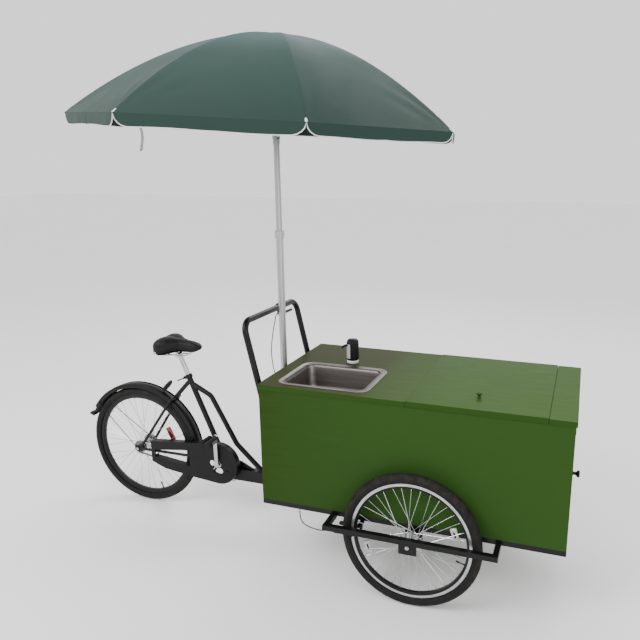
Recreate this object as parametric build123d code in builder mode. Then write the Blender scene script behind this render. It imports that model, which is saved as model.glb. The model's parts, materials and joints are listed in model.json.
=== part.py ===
from build123d import *
from math import atan2, degrees, cos, hypot, pi, radians, sin, sqrt
import os

os.makedirs("parts", exist_ok=True)

# ---------------------------------------------------------------- driving dimensions (mm)
# X points forward, Y to the rider's left, Z up.  The origin lies on the ground, in the
# middle of the box that bounds the whole machine.
FRONT_X = 726.1  # front axle line, ahead of the origin
WHEELBASE = 1789.0
REAR_X = FRONT_X - WHEELBASE
FRONT_BEAD_R = 279.5  # 26 inch rims
REAR_BEAD_R = 311.0  # 28 inch rims
TYRE_H = 52.5  # bead seat to tread
TYRE_HALF = 25.0
FRONT_R = FRONT_BEAD_R + TYRE_H
REAR_R = REAR_BEAD_R + 50.0
FRONT_TRACK_Y = 440.0  # front wheel plane, each side of the middle
RIM_HALF = 12.4
AXLE_R = 5.0
RUN = 0.05  # radial running clearance

BOX_X0 = FRONT_X - 784.0
BOX_X1 = FRONT_X + 683.0
BOX_HALF = 381.5
BOARD = 12.0
RAIL = 25.0
RAIL_TOP = 377.0
RAIL_Z = RAIL_TOP - RAIL
TOP_Z = 980.0  # upper face of the worktop
TOP_T = 25.0
LID_T = 28.0
OVER = 6.0  # worktop overhang
LID_X0 = FRONT_X - 50.0
LID_X1 = FRONT_X + 572.0
SEAM = 1.5

PIVOT_X = FRONT_X - 150.0  # steering pivot under the box
BEAM_Z0 = 235.0
BEAM_Z1 = 305.0
BB_X = FRONT_X - 1243.0
BB_Z = 345.0
CRANK = 170.0
SEAT_TOP_X = FRONT_X - 1453.0
SEAT_TOP_Z = 840.0
SEAT_TUBE_R = 15.5
POST_R = 13.6
CHAIN_Y = -48.0

MAST_X = FRONT_X - 840.0
MAST_Y = 0.7
KNUCKLE_Z = 2145.0  # tilt pivot of the parasol
RIM_H = 56.0  # rim of the canopy above the tilt pivot, along the head's own axis
DOME = 410.0
CANOPY_R = 949.0
RIBS = 8
RIB_PHASE = 33.8  # degrees from +X, of the first rib
LEAN = 3.76  # degrees, at rest
LEAN_X = 0.8947
LEAN_Y = -0.4466
DOME_POWER = 1.87

saved = []


def save(node, part):
    part.label = node
    export_step(part, f"parts/{node}.step")
    saved.append(node)


def span(x0, x1, y0, y1, z0, z1, mode=Mode.ADD):
    """A block between two corners."""
    with Locations(((x0 + x1) / 2, (y0 + y1) / 2, (z0 + z1) / 2)):
        Box(x1 - x0, y1 - y0, z1 - z0, mode=mode)


def rod(a, b, r, mode=Mode.ADD):
    """A round bar from a to b."""
    a, b = Vector(*a), Vector(*b)
    with Locations(Plane(origin=a, z_dir=b - a)):
        Cylinder(r, (b - a).length, align=(Align.CENTER, Align.CENTER, Align.MIN), mode=mode)


def knuckles_beside(middle):
    """The two outer knuckles of a hinge, either side of its fixed one."""
    inner = KNUCKLE / 2 + KNUCKLE_PLAY
    outer = KNUCKLE_SPAN / 2
    return (middle - outer, middle - inner), (middle + inner, middle + outer)


def side(y):
    """Drawing plane facing the right side, local x forward and local y up."""
    return Plane(origin=(0, y, 0), x_dir=(1, 0, 0), z_dir=(0, -1, 0))


def bent_rod(points, radius, r):
    """A bar of radius r swept along straight runs joined by arcs."""
    with BuildLine() as route:
        FilletPolyline(*points, radius=radius)
    start = Vector(*points[0])
    with BuildSketch(Plane(origin=start, z_dir=Vector(*points[1]) - start)) as section:
        Circle(r)
    sweep(sections=section.sketch, path=route.line)


# ---------------------------------------------------------------- wheels


def wheel_section(x, y, z):
    """Drawing plane through an axle: local x along the axle, local y outwards."""
    return Plane(origin=(x, y, z), x_dir=(0, 1, 0), z_dir=(1, 0, 0))


def make_tyre(node, x, y, bead, radius):
    """Hollow casing whose two beads sit between the rim's flanges."""
    casing = 4.0
    middle = radius - TYRE_HALF
    seat = bead + 8.9
    wall = sqrt((TYRE_HALF - casing / 2) ** 2 - (middle - seat) ** 2)
    with BuildPart() as tyre:
        with BuildSketch(wheel_section(x, y, radius)):
            with Locations((0, middle)):
                Circle(TYRE_HALF)
                Circle(TYRE_HALF - casing, mode=Mode.SUBTRACT)
            with Locations((0, seat - TYRE_HALF)):
                Rectangle(4 * TYRE_HALF, 2 * TYRE_HALF, mode=Mode.SUBTRACT)
            with Locations((8.2, seat - 2), (-8.2, seat - 2)):
                Rectangle(3.6, 14)
            with Locations(((wall + 6.4) / 2, seat + 1.5), (-(wall + 6.4) / 2, seat + 1.5)):
                Rectangle(wall - 6.4, 3)
        revolve(axis=Axis((x, y, radius), (0, 1, 0)))
    save(node, tyre.part)


def make_wheel(node, x, y, bead, radius, hub_half, flange_y, spokes=36):
    """Rim, hub and crossed spokes, as separate solids of one wheel."""
    rim_in = bead - 17.5
    flange_r = 29.0
    with BuildPart() as rim:
        with BuildSketch(wheel_section(x, y, radius)):
            with Locations((0, bead - 11.25)):
                Rectangle(2 * RIM_HALF, 12.5)
            with Locations((RIM_HALF - 1, bead + 1.25), (1 - RIM_HALF, bead + 1.25)):
                Rectangle(2, 14.5)
        revolve(axis=Axis((x, y, radius), (0, 1, 0)))
    with BuildPart() as hub:
        rod((x, y - hub_half, radius), (x, y + hub_half, radius), 14)
        for sign in (-1, 1):
            rod((x, y + sign * (flange_y - 2), radius), (x, y + sign * (flange_y + 2), radius), flange_r)
        rod((x, y - hub_half - 1, radius), (x, y + hub_half + 1, radius), AXLE_R + RUN, Mode.SUBTRACT)
    with BuildPart() as lacing:
        for i in range(spokes):
            out = 2 * pi * i / spokes
            sign = 1 if i % 2 else -1
            twist = radians(58) * (1 if i % 4 < 2 else -1)
            foot = flange_r + 0.6
            tip = rim_in - 0.2
            a = (x + foot * cos(out + twist), y + sign * flange_y, radius + foot * sin(out + twist))
            b = (x + tip * cos(out), y + sign * 3.5, radius + tip * sin(out))
            rod(a, b, 1.0)
    save(node, Compound([rim.part, hub.part, *lacing.part.solids()]))


make_tyre("rear_tyre", REAR_X, 0, REAR_BEAD_R, REAR_R)
make_tyre("right_front_tyre", FRONT_X, -FRONT_TRACK_Y, FRONT_BEAD_R, FRONT_R)
make_tyre("left_front_tyre", FRONT_X, FRONT_TRACK_Y, FRONT_BEAD_R, FRONT_R)
make_wheel("rear_wheel", REAR_X, 0, REAR_BEAD_R, REAR_R, 40, 26)
make_wheel("right_front_wheel", FRONT_X, -FRONT_TRACK_Y, FRONT_BEAD_R, FRONT_R, 41, 30)
make_wheel("left_front_wheel", FRONT_X, FRONT_TRACK_Y, FRONT_BEAD_R, FRONT_R, 41, 30)

# ---------------------------------------------------------------- rear frame

DROP_Y = 62.0  # inner face of each dropout
DROP_T = 6.0
STAY_R = 8.0
SHELL_R = 21.0
seat_dir = Vector(SEAT_TOP_X - BB_X, 0, SEAT_TOP_Z - BB_Z).normalized()
foot_z = 262.0
foot_x = BB_X + (foot_z - BB_Z) * seat_dir.X / seat_dir.Z
crown = (FRONT_X - 1552, 0, 686)
swan = [
    (FRONT_X - 1436, 0, 790),
    (FRONT_X - 1309, 0, 727),
    (FRONT_X - 1158, 0, 452),
    (FRONT_X - 985, 0, 290),
]

with BuildPart() as rear_frame:
    rod((foot_x, 0, foot_z), (SEAT_TOP_X, 0, SEAT_TOP_Z), SEAT_TUBE_R)
    rod((BB_X, -34, BB_Z), (BB_X, 34, BB_Z), SHELL_R)
    span(foot_x - 12, PIVOT_X, -20, 20, BEAM_Z0, BEAM_Z1)
    with BuildSketch(side(4)):
        with BuildLine():
            Polyline(
                (BB_X + 12, BB_Z + 14),
                (BB_X + 110, BB_Z + 2),
                (BB_X + 205, BEAM_Z1 - 2),
                (BB_X + 10, BEAM_Z1 - 2),
                close=True,
            )
        make_face()
    extrude(amount=8)
    bent_rod(swan, 55, 14.3)
    for sign in (-1, 1):
        hub = (REAR_X + 12, sign * (DROP_Y + 3), REAR_R)
        rod((BB_X, sign * 24, BB_Z), hub, STAY_R)
        rod(hub, (crown[0], sign * 43, crown[2]), STAY_R)
        with Locations((crown[0], sign * 43, crown[2])):
            Sphere(STAY_R)
        with BuildSketch(side(sign * (DROP_Y + DROP_T / 2) + DROP_T / 2)):
            with Locations((REAR_X + 6, REAR_R)):
                SlotOverall(58, 34)
            with Locations((REAR_X, REAR_R)):
                Circle(AXLE_R + 0.02, mode=Mode.SUBTRACT)
        extrude(amount=DROP_T)
    rod((crown[0], -43, crown[2]), (crown[0], 43, crown[2]), 9)
    rod(crown, (FRONT_X - 1446, 0, 800), 12.5)
    rod((PIVOT_X, 0, 226), (PIVOT_X, 0, 343), 25)
    rod((PIVOT_X, 0, 225), (PIVOT_X, 0, 344), 15 + RUN, Mode.SUBTRACT)
    span(foot_x + 40, PIVOT_X - 40, -17, 17, BEAM_Z0 + 3, BEAM_Z1 - 3, Mode.SUBTRACT)
    rod((BB_X, -35, BB_Z), (BB_X, 35, BB_Z), 8.5 + RUN, Mode.SUBTRACT)
    bore_foot = Vector(BB_X, 0, BB_Z) + seat_dir * 190
    bore_top = Vector(BB_X, 0, BB_Z) + seat_dir * 560
    rod(tuple(bore_foot), tuple(bore_top), POST_R + RUN, Mode.SUBTRACT)
    for sign in (-1, 1):
        wheel_room = sign * (DROP_Y - 0.01)
        rod((REAR_X, 0, REAR_R), (REAR_X, wheel_room, REAR_R), 30, Mode.SUBTRACT)
        nut_room = sign * (DROP_Y + DROP_T)
        rod((REAR_X, nut_room, REAR_R), (REAR_X, nut_room + sign * 12, REAR_R), 32, Mode.SUBTRACT)
save("rear_frame", rear_frame.part)

with BuildPart() as rear_axle:
    rod((REAR_X, -80, REAR_R), (REAR_X, 80, REAR_R), AXLE_R)
with BuildPart() as rear_nuts:
    for y in (-68, 68 + 9):
        with BuildSketch(side(y)):
            with Locations((REAR_X, REAR_R)):
                RegularPolygon(9, 6)
                Circle(AXLE_R + 0.02, mode=Mode.SUBTRACT)
        extrude(amount=9)
save("rear_axle", Compound([rear_axle.part, *rear_nuts.part.solids()]))

GUARD_R = 390.0
GUARD_HALF = 30.0
guard_from = 6.0
guard_to = 157.0


def polar(angle, radius, y=0.0):
    """A point beside the rear wheel, its angle measured from forward to up."""
    turn = radians(angle)
    return (REAR_X + radius * cos(turn), y, REAR_R + radius * sin(turn))


def across(angle):
    """Drawing plane through the rear axle at that angle, local y outwards."""
    turn = radians(angle)
    return Plane(origin=(REAR_X, 0, REAR_R), x_dir=(0, 1, 0), z_dir=(sin(turn), 0, -cos(turn)))


with BuildPart() as mudguard:
    with BuildSketch(across(guard_to)):
        with BuildLine():
            ThreePointArc((-GUARD_HALF, GUARD_R - 12), (0, GUARD_R), (GUARD_HALF, GUARD_R - 12))
            Line((GUARD_HALF, GUARD_R - 12), (GUARD_HALF - 1.5, GUARD_R - 13.5))
            ThreePointArc(
                (GUARD_HALF - 1.5, GUARD_R - 13.5), (0, GUARD_R - 2), (1.5 - GUARD_HALF, GUARD_R - 13.5)
            )
            Line((1.5 - GUARD_HALF, GUARD_R - 13.5), (-GUARD_HALF, GUARD_R - 12))
        make_face()
    revolve(axis=Axis((REAR_X, 0, REAR_R), (0, 1, 0)), revolution_arc=guard_to - guard_from)
    with BuildSketch(across(guard_to)):
        with Locations((0, GUARD_R + 7)):
            RectangleRounded(46, 34, 8)
    extrude(amount=3, both=True)
with BuildPart() as guard_stays:
    for sign in (-1, 1):
        rod((REAR_X - 14, sign * 71.5, REAR_R + 12), polar(140.4, GUARD_R - 9, sign * 33.5), 2.2)
save("rear_mudguard", Compound([mudguard.part, *guard_stays.part.solids()]))

lamp_foot = Vector(*polar(66, GUARD_R + 4))
lamp_dir = Vector(61, 0, 68).normalized()
lamp_back = Vector(-lamp_dir.Z, 0, lamp_dir.X)
with BuildPart() as rear_lamp:
    with BuildSketch(Plane(origin=lamp_foot + lamp_back * -12, x_dir=(0, 1, 0), z_dir=lamp_back)):
        with Locations((0, 46 * -1)):
            Ellipse(24, 46)
    extrude(amount=24)
save("rear_lamp", rear_lamp.part)

# ---------------------------------------------------------------- drive

CASE_OUT = -72.0
CASE_IN = -36.0
CASE_R = 122.0
CASE_WALL = 2.0
case_rear = FRONT_X - 1694.0
case_slot = FRONT_X - 1434.0
RING_PITCH_R = 89.0
COG_PITCH_R = 36.4
LINK_HALF = 4.0


def case_outline(shrink):
    """Disc round the crank and two arms that run back to the sprocket."""
    with BuildSketch() as outline:
        with Locations((BB_X, BB_Z)):
            Circle(CASE_R)
        with BuildLine():
            Polyline(
                (case_rear, 424),
                (BB_X - 12, BB_Z + CASE_R - 1),
                (BB_X, BB_Z - CASE_R),
                (FRONT_X - 1413, 238),
                (FRONT_X - 1605, 262),
                (case_rear, 297),
                close=True,
            )
        make_face()
        with BuildLine():
            Polyline((case_rear + 24, 371), (case_slot, 402), (case_slot, 300), (case_rear + 24, 327), close=True)
        make_face(mode=Mode.SUBTRACT)
        if shrink:
            offset(amount=-shrink, kind=Kind.INTERSECTION)
    return outline.sketch


with BuildPart() as chain_case:
    with BuildSketch(side(CASE_IN)):
        add(case_outline(0))
    extrude(amount=CASE_IN - CASE_OUT)
    with BuildSketch(side(CASE_IN)):
        add(case_outline(CASE_WALL))
    extrude(amount=CASE_IN - CASE_OUT - CASE_WALL, mode=Mode.SUBTRACT)
    with BuildSketch(side(CASE_IN)):
        with Locations((BB_X, BB_Z)):
            Circle(20)
        with Locations((BB_X - 38, BB_Z + 2)):
            Ellipse(15, 17)
        with Locations((BB_X - 2, BB_Z - 41)):
            SlotOverall(62, 34)
        with Locations((BB_X + 58, BB_Z - 38)):
            Circle(7)
    extrude(amount=CASE_IN - CASE_OUT + 1, mode=Mode.SUBTRACT)
    span(case_rear - 4, case_rear + 30, -71, -30, 338, 370.5, Mode.SUBTRACT)
    span(case_slot - 6, case_slot + 12, -56, -30, 334, 370, Mode.SUBTRACT)
    for low, high in ((376, 418), (301, 322)):
        span(case_rear - 4, case_rear + 6, -58, -30, low, high, Mode.SUBTRACT)
save("chain_case", chain_case.part)

with BuildPart() as chain:
    for grow in (LINK_HALF, -LINK_HALF):
        with BuildSketch(side(CHAIN_Y + 3.5)):
            with Locations((BB_X, BB_Z)):
                Circle(RING_PITCH_R + grow)
            with Locations((REAR_X, REAR_R)):
                Circle(COG_PITCH_R + grow)
            make_hull()
        extrude(amount=7, mode=Mode.ADD if grow > 0 else Mode.SUBTRACT)
save("chain", chain.part)

ARM_Y = 76.0
ARM_T = 14.0
with BuildPart() as crank_axle:
    rod((BB_X, -ARM_Y - ARM_T, BB_Z), (BB_X, ARM_Y + ARM_T, BB_Z), 8.5)
arms = []
for sign in (-1, 1):
    with BuildPart() as crank_arm:
        with BuildSketch(side(sign * ARM_Y if sign < 0 else ARM_Y + ARM_T)):
            with Locations((BB_X, BB_Z), (BB_X, BB_Z - sign * CRANK)):
                Circle(15)
            with Locations((BB_X, BB_Z - sign * CRANK / 2)):
                Rectangle(22, CRANK)
            with Locations((BB_X, BB_Z)):
                Circle(8.52, mode=Mode.SUBTRACT)
        extrude(amount=ARM_T)
        face_y = sign * (ARM_Y + ARM_T)
        end_z = BB_Z - sign * CRANK
        rod((BB_X, face_y, end_z), (BB_X, face_y + sign * 89, end_z), 4.5)
    arms.append(crank_arm.part)
with BuildPart() as chainring:
    with BuildSketch(side(CHAIN_Y + 1.2)):
        with Locations((BB_X, BB_Z)):
            Circle(84.5)
            Circle(70, mode=Mode.SUBTRACT)
            with PolarLocations(0, 5, start_angle=90):
                with Locations((36, 0)):
                    Rectangle(72, 13)
            Circle(24)
            Circle(8.52, mode=Mode.SUBTRACT)
    extrude(amount=2.4)
save("crankset", Compound([crank_axle.part, *arms, chainring.part]))

for node, sign in (("right_pedal", -1), ("left_pedal", 1)):
    end_z = BB_Z - sign * CRANK
    inner = sign * (ARM_Y + ARM_T + 3)
    outer = sign * (ARM_Y + ARM_T + 99)
    with BuildPart() as pedal:
        span(BB_X - 34, BB_X + 34, min(inner, outer), max(inner, outer), end_z - 13, end_z + 13)
        fillet(pedal.edges().filter_by(Axis.Y), 6)
        rod((BB_X, inner - sign, end_z), (BB_X, sign * (ARM_Y + ARM_T + 90), end_z), 4.5 + RUN, Mode.SUBTRACT)
    save(node, pedal.part)

# ---------------------------------------------------------------- saddle

along = Vector(BB_X, 0, BB_Z)
top = hypot(SEAT_TOP_X - BB_X, SEAT_TOP_Z - BB_Z)
with BuildPart() as clamp_ring:
    rod(tuple(along + seat_dir * (top - 22)), tuple(along + seat_dir * (top - 2)), 21)
    rod(tuple(along + seat_dir * (top - 24)), tuple(along + seat_dir * top), SEAT_TUBE_R + 0.02, Mode.SUBTRACT)
    lug = along + seat_dir * (top - 12) + Vector(-24, 0, -10)
    with Locations(tuple(lug)):
        Box(14, 16, 14)
    rod(tuple(lug + Vector(0, -9, 0)), tuple(lug + Vector(0, 9, 0)), 3 + RUN, Mode.SUBTRACT)
save("seat_clamp", clamp_ring.part)
with BuildPart() as quick_release:
    rod(tuple(lug + Vector(0, -14, 0)), tuple(lug + Vector(0, 13, 0)), 3)
    rod(tuple(lug + Vector(0, -18, 0)), tuple(lug + Vector(0, -8.6, 0)), 6)
    rod(tuple(lug + Vector(0, 8.6, 0)), tuple(lug + Vector(0, 15, 0)), 6)
    rod(tuple(lug + Vector(0, -14, 0)), tuple(lug + Vector(-42, -16, -20)), 3.6)
save("seat_quick_release", quick_release.part)

HEAD_Z = 951.0
head_x = BB_X + (HEAD_Z - BB_Z) * seat_dir.X / seat_dir.Z
with BuildPart() as seat_post:
    rod(tuple(along + seat_dir * (top - 190)), (head_x, 0, HEAD_Z), POST_R)
with BuildPart() as rails:
    rod((head_x, -24, HEAD_Z + 2), (head_x, 24, HEAD_Z + 2), 14)
    for sign in (-1, 1):
        bent_rod(
            [
                (FRONT_X - 1592, sign * 34, 975),
                (FRONT_X - 1545, sign * 24, 955),
                (FRONT_X - 1450, sign * 22, 955),
                (FRONT_X - 1400, sign * 10, 984),
            ],
            15,
            3.5,
        )
    rod(tuple(along + seat_dir * top), (head_x, 0, HEAD_Z + 0.02), POST_R + 0.02, Mode.SUBTRACT)
save("seat_post", Compound([seat_post.part, *rails.part.solids()]))

with BuildPart() as saddle:
    with BuildSketch(side(115)):
        with BuildLine():
            Polyline(
                (FRONT_X - 1618, 990),
                (FRONT_X - 1614, 1040),
                (FRONT_X - 1565, 1060),
                (FRONT_X - 1440, 1030),
                (FRONT_X - 1358, 1018),
                (FRONT_X - 1352, 1000),
                (FRONT_X - 1420, 985),
                close=True,
            )
        make_face()
    extrude(amount=230)
    with BuildSketch(Plane.XY.offset(970)):
        with BuildLine():
            Spline(
                (FRONT_X - 1350, 0),
                (FRONT_X - 1362, 20),
                (FRONT_X - 1430, 30),
                (FRONT_X - 1505, 62),
                (FRONT_X - 1560, 104),
                (FRONT_X - 1605, 96),
                (FRONT_X - 1618, 40),
                (FRONT_X - 1612, 0),
            )
            mirror(about=Plane.XZ)
        make_face()
    extrude(amount=120, mode=Mode.INTERSECT)
save("saddle", saddle.part)

# ---------------------------------------------------------------- front chassis

OUT_Y0 = 482.0
OUT_Y1 = 507.0
OUT_Z = 345.0
OUT_X0 = FRONT_X - 411.0
OUT_X1 = FRONT_X + 405.0
PLATE_HALF = 42.0
PLATE_T = 6.0
side_y = BOX_HALF - RAIL
SOCKET_TOP = 620.0
STUD_X = FRONT_X - 254.0
STUD_OFF = 36.0
POLE_R = 18.0
with BuildPart() as chassis:
    for sign in (-1, 1):
        y0, y1 = sorted((sign * side_y, sign * BOX_HALF))
        span(BOX_X0, BOX_X1, y0, y1, RAIL_Z, RAIL_TOP)
        span(BOX_X0 + 30, BOX_X1 - 30, y0 + 3, y1 - 3, RAIL_Z, RAIL_TOP - 3, Mode.SUBTRACT)
    for x0 in (BOX_X0, BOX_X1 - RAIL, PIVOT_X - 70, PIVOT_X + 70 - RAIL):
        span(x0, x0 + RAIL, -side_y, side_y, RAIL_Z, RAIL_TOP)
    span(PIVOT_X - 70, PIVOT_X + 70, -80, 80, 344.5, RAIL_Z)
    rod((PIVOT_X, 0, 225.5), (PIVOT_X, 0, RAIL_Z), 15)
    rod((PIVOT_X, 0, 212), (PIVOT_X, 0, 225.5), 23)
    for sign in (-1, 1):
        y0, y1 = sorted((sign * OUT_Y0, sign * OUT_Y1))
        span(OUT_X0, OUT_X1, y0, y1, OUT_Z, OUT_Z + RAIL)
        a0, a1 = sorted((sign * BOX_HALF, sign * OUT_Y0))
        for x0 in (OUT_X0, OUT_X1 - RAIL):
            span(x0, x0 + RAIL, a0, a1, OUT_Z, OUT_Z + RAIL)
        for x0, x1 in ((OUT_X0 + 30, FRONT_X - 50), (FRONT_X + 50, OUT_X1 - 30)):
            span(x0, x1, y0 + 3, y1 - 3, OUT_Z, OUT_Z + RAIL - 3, Mode.SUBTRACT)
        for plate_y in (BOX_HALF + PLATE_T / 2, (OUT_Y0 + OUT_Y1) / 2):
            with BuildSketch(side(sign * plate_y + PLATE_T / 2)):
                with Locations((FRONT_X, OUT_Z - 21)):
                    Rectangle(2 * PLATE_HALF, 62)
                with Locations((FRONT_X, FRONT_R)):
                    Circle(AXLE_R + 0.02, mode=Mode.SUBTRACT)
            extrude(amount=PLATE_T)
        for inward, reach in ((1, BOX_HALF), (-1, OUT_Y0)):
            stud_y = sign * (FRONT_TRACK_Y - inward * STUD_OFF)
            b0, b1 = sorted((sign * reach, stud_y + sign * inward * 9))
            span(STUD_X - 10, STUD_X + 10, b0, b1, 345, 355)
            rod((STUD_X, stud_y, 322), (STUD_X, stud_y, 346), 4)
    rod((MAST_X, MAST_Y, RAIL_Z), (MAST_X, MAST_Y, SOCKET_TOP), POLE_R + 4)
    rod((MAST_X, MAST_Y, RAIL_Z + 8), (MAST_X, MAST_Y, SOCKET_TOP + 1), POLE_R + 0.3, Mode.SUBTRACT)
    span(MAST_X + POLE_R + 3, BOX_X0, -20, 20, RAIL_Z, RAIL_TOP)
    span(MAST_X + POLE_R + 3, BOX_X0 - 0.3, -20, 20, SOCKET_TOP - 40, SOCKET_TOP - 10)
save("front_chassis", chassis.part)

front_axles = []
for sign in (-1, 1):
    with BuildPart() as axle:
        rod((FRONT_X, sign * (BOX_HALF - 0.5 + 0.6), FRONT_R), (FRONT_X, sign * (OUT_Y1 + 4), FRONT_R), AXLE_R)
    front_axles.append(axle.part)
    nut_y = sign * ((OUT_Y0 + OUT_Y1) / 2 + PLATE_T / 2)
    with BuildPart() as nut:
        with BuildSketch(side(nut_y if sign < 0 else nut_y + 8)):
            with Locations((FRONT_X, FRONT_R)):
                RegularPolygon(10, 6)
                Circle(AXLE_R + 0.02, mode=Mode.SUBTRACT)
        extrude(amount=8)
    front_axles.append(nut.part)
save("front_axles", Compound(front_axles))

for name, sign in (("right", -1), ("left", 1)):
    for place, inward in (("inner", 1), ("outer", -1)):
        stud_y = sign * (FRONT_TRACK_Y - inward * STUD_OFF)
        to_rim = sign * inward
        with BuildPart() as brake_arm:
            span(FRONT_X - 365, FRONT_X - 246, stud_y - 5, stud_y + 5, 325, 341)
            fillet(brake_arm.edges().filter_by(Axis.Y), 6)
            rod((STUD_X, stud_y, 322), (STUD_X, stud_y, 344), 8)
            rod((STUD_X, stud_y, 321), (STUD_X, stud_y, 345), 4 + RUN, Mode.SUBTRACT)
            rim_y = sign * FRONT_TRACK_Y - to_rim * (RIM_HALF + 1.5)
            rod((FRONT_X - 281, stud_y, 332), (FRONT_X - 281, rim_y, 332), 3)
            y0, y1 = sorted((rim_y, rim_y - to_rim * 9))
            span(FRONT_X - 286, FRONT_X - 277, y0, y1, 308, 356)
        save(f"{name}_brake_{place}_arm", brake_arm.part)

# ---------------------------------------------------------------- box

KNUCKLE_R = 3.5
KNUCKLE = 24.0
KNUCKLE_SPAN = 72.0
KNUCKLE_PLAY = 0.3
LID_HINGE_Y = BOX_HALF + OVER - 2
LID_HINGE_Z = TOP_Z - TOP_T
LID_HINGES = (LID_X0 + 110.0, LID_X1 - 110.0)
LEAF = 2.2
sides = []
for sign in (-1, 1):
    with BuildPart() as panel:
        y0, y1 = sorted((sign * (BOX_HALF - BOARD), sign * BOX_HALF))
        span(BOX_X0, BOX_X1, y0, y1, RAIL_TOP, TOP_Z - TOP_T)
        if sign > 0:
            for x in LID_HINGES:
                x0, x1 = x - KNUCKLE / 2, x + KNUCKLE / 2
                span(x0, x1, BOX_HALF, BOX_HALF + LEAF, LID_HINGE_Z - 35, LID_HINGE_Z)
                rod((x0, LID_HINGE_Y, LID_HINGE_Z), (x1, LID_HINGE_Y, LID_HINGE_Z), KNUCKLE_R)
    sides.append(panel.part)
save("side_panels", Compound(sides))

DOOR_HALF = 270.0
DOOR_Z0 = 430.0
DOOR_Z1 = 850.0
DOOR_GAP = 2.0
DOOR_HINGE_Z = DOOR_Z1 - DOOR_GAP
DOOR_HINGES = (-160.0, 160.0)
with BuildPart() as rear_panel:
    span(BOX_X0, BOX_X0 + BOARD, -BOX_HALF + BOARD, BOX_HALF - BOARD, RAIL_TOP, TOP_Z - TOP_T)
with BuildPart() as front_panel:
    span(BOX_X1 - BOARD, BOX_X1, -BOX_HALF + BOARD, BOX_HALF - BOARD, RAIL_TOP, TOP_Z - TOP_T)
    span(BOX_X1 - 20, BOX_X1 + 1, -DOOR_HALF, DOOR_HALF, DOOR_Z0, DOOR_Z1, Mode.SUBTRACT)
    for y in DOOR_HINGES:
        for y0, y1 in knuckles_beside(y):
            start = (BOX_X1, y0 - KNUCKLE_PLAY, DOOR_HINGE_Z)
            end = (BOX_X1, y1 + KNUCKLE_PLAY, DOOR_HINGE_Z)
            rod(start, end, KNUCKLE_R + KNUCKLE_PLAY, Mode.SUBTRACT)
        rod((BOX_X1, y - KNUCKLE / 2, DOOR_HINGE_Z), (BOX_X1, y + KNUCKLE / 2, DOOR_HINGE_Z), KNUCKLE_R)
save("end_panels", Compound([rear_panel.part, front_panel.part]))
with BuildPart() as floor:
    span(BOX_X0 + BOARD, BOX_X1 - BOARD, BOARD - BOX_HALF, BOX_HALF - BOARD, RAIL_TOP, RAIL_TOP + BOARD)
save("box_floor", floor.part)

SINK_X = FRONT_X - 484.0
SINK_Y = -157.0
SINK_L = 470.0
SINK_W = 375.0
SINK_CORNER = 62.0
SINK_DEPTH = 150.0
SINK_RIM = 30.0
SHEET = 1.5
TAP_X = FRONT_X - 480.0
TAP_Y = 98.0
edge_y = LID_HINGE_Y
with BuildPart() as rear_board:
    span(BOX_X0 - OVER, LID_X0 - SEAM, -edge_y, edge_y, TOP_Z - TOP_T, TOP_Z)
    with BuildSketch(Plane.XY.offset(TOP_Z - TOP_T)):
        with Locations((SINK_X, SINK_Y)):
            RectangleRounded(SINK_L - 2 * SINK_RIM + 8, SINK_W - 2 * SINK_RIM + 8, SINK_CORNER - SINK_RIM + 6)
        with Locations((TAP_X, TAP_Y)):
            Circle(14)
    extrude(amount=TOP_T, mode=Mode.SUBTRACT)
with BuildPart() as front_board:
    span(LID_X1 + SEAM, BOX_X1 + OVER, -edge_y, edge_y, TOP_Z - TOP_T, TOP_Z)
save("worktop", Compound([rear_board.part, front_board.part]))

with BuildPart() as sink:
    with BuildSketch(Plane.XY.offset(TOP_Z)):
        with Locations((SINK_X, SINK_Y)):
            RectangleRounded(SINK_L, SINK_W, SINK_CORNER)
    extrude(amount=2)
    inner_l = SINK_L - 2 * SINK_RIM
    inner_w = SINK_W - 2 * SINK_RIM
    with BuildSketch(Plane.XY.offset(TOP_Z - SINK_DEPTH)):
        with Locations((SINK_X, SINK_Y)):
            RectangleRounded(inner_l, inner_w, SINK_CORNER - SINK_RIM + 10)
    extrude(amount=SINK_DEPTH)
    with BuildSketch(Plane.XY.offset(TOP_Z - SINK_DEPTH + SHEET)):
        with Locations((SINK_X, SINK_Y)):
            RectangleRounded(inner_l - 2 * SHEET, inner_w - 2 * SHEET, SINK_CORNER - SINK_RIM + 8)
    extrude(amount=SINK_DEPTH + 3, mode=Mode.SUBTRACT)
    drain_z = TOP_Z - SINK_DEPTH
    rod((SINK_X, SINK_Y, drain_z - 45), (SINK_X, SINK_Y, drain_z + SHEET), 30)
    rod((SINK_X, SINK_Y, drain_z - 46), (SINK_X, SINK_Y, drain_z + SHEET + 1), 20, Mode.SUBTRACT)
save("sink", sink.part)

with BuildPart() as lid:
    span(LID_X0, LID_X1, -edge_y, edge_y, TOP_Z - TOP_T, TOP_Z - TOP_T + LID_T)
    knob = (FRONT_X + 257, -243)
    lid_top = TOP_Z - TOP_T + LID_T
    rod((*knob, lid_top), (*knob, lid_top + 16), 6)
    rod((*knob, lid_top + 14), (*knob, lid_top + 27), 13)
    for x in LID_HINGES:
        for x0, x1 in knuckles_beside(x):
            rod((x0, LID_HINGE_Y, LID_HINGE_Z), (x1, LID_HINGE_Y, LID_HINGE_Z), KNUCKLE_R)
        gap = KNUCKLE / 2 + KNUCKLE_PLAY
        start = (x - gap, LID_HINGE_Y, LID_HINGE_Z)
        end = (x + gap, LID_HINGE_Y, LID_HINGE_Z)
        rod(start, end, KNUCKLE_R + KNUCKLE_PLAY, Mode.SUBTRACT)
save("lid", lid.part)

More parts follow.
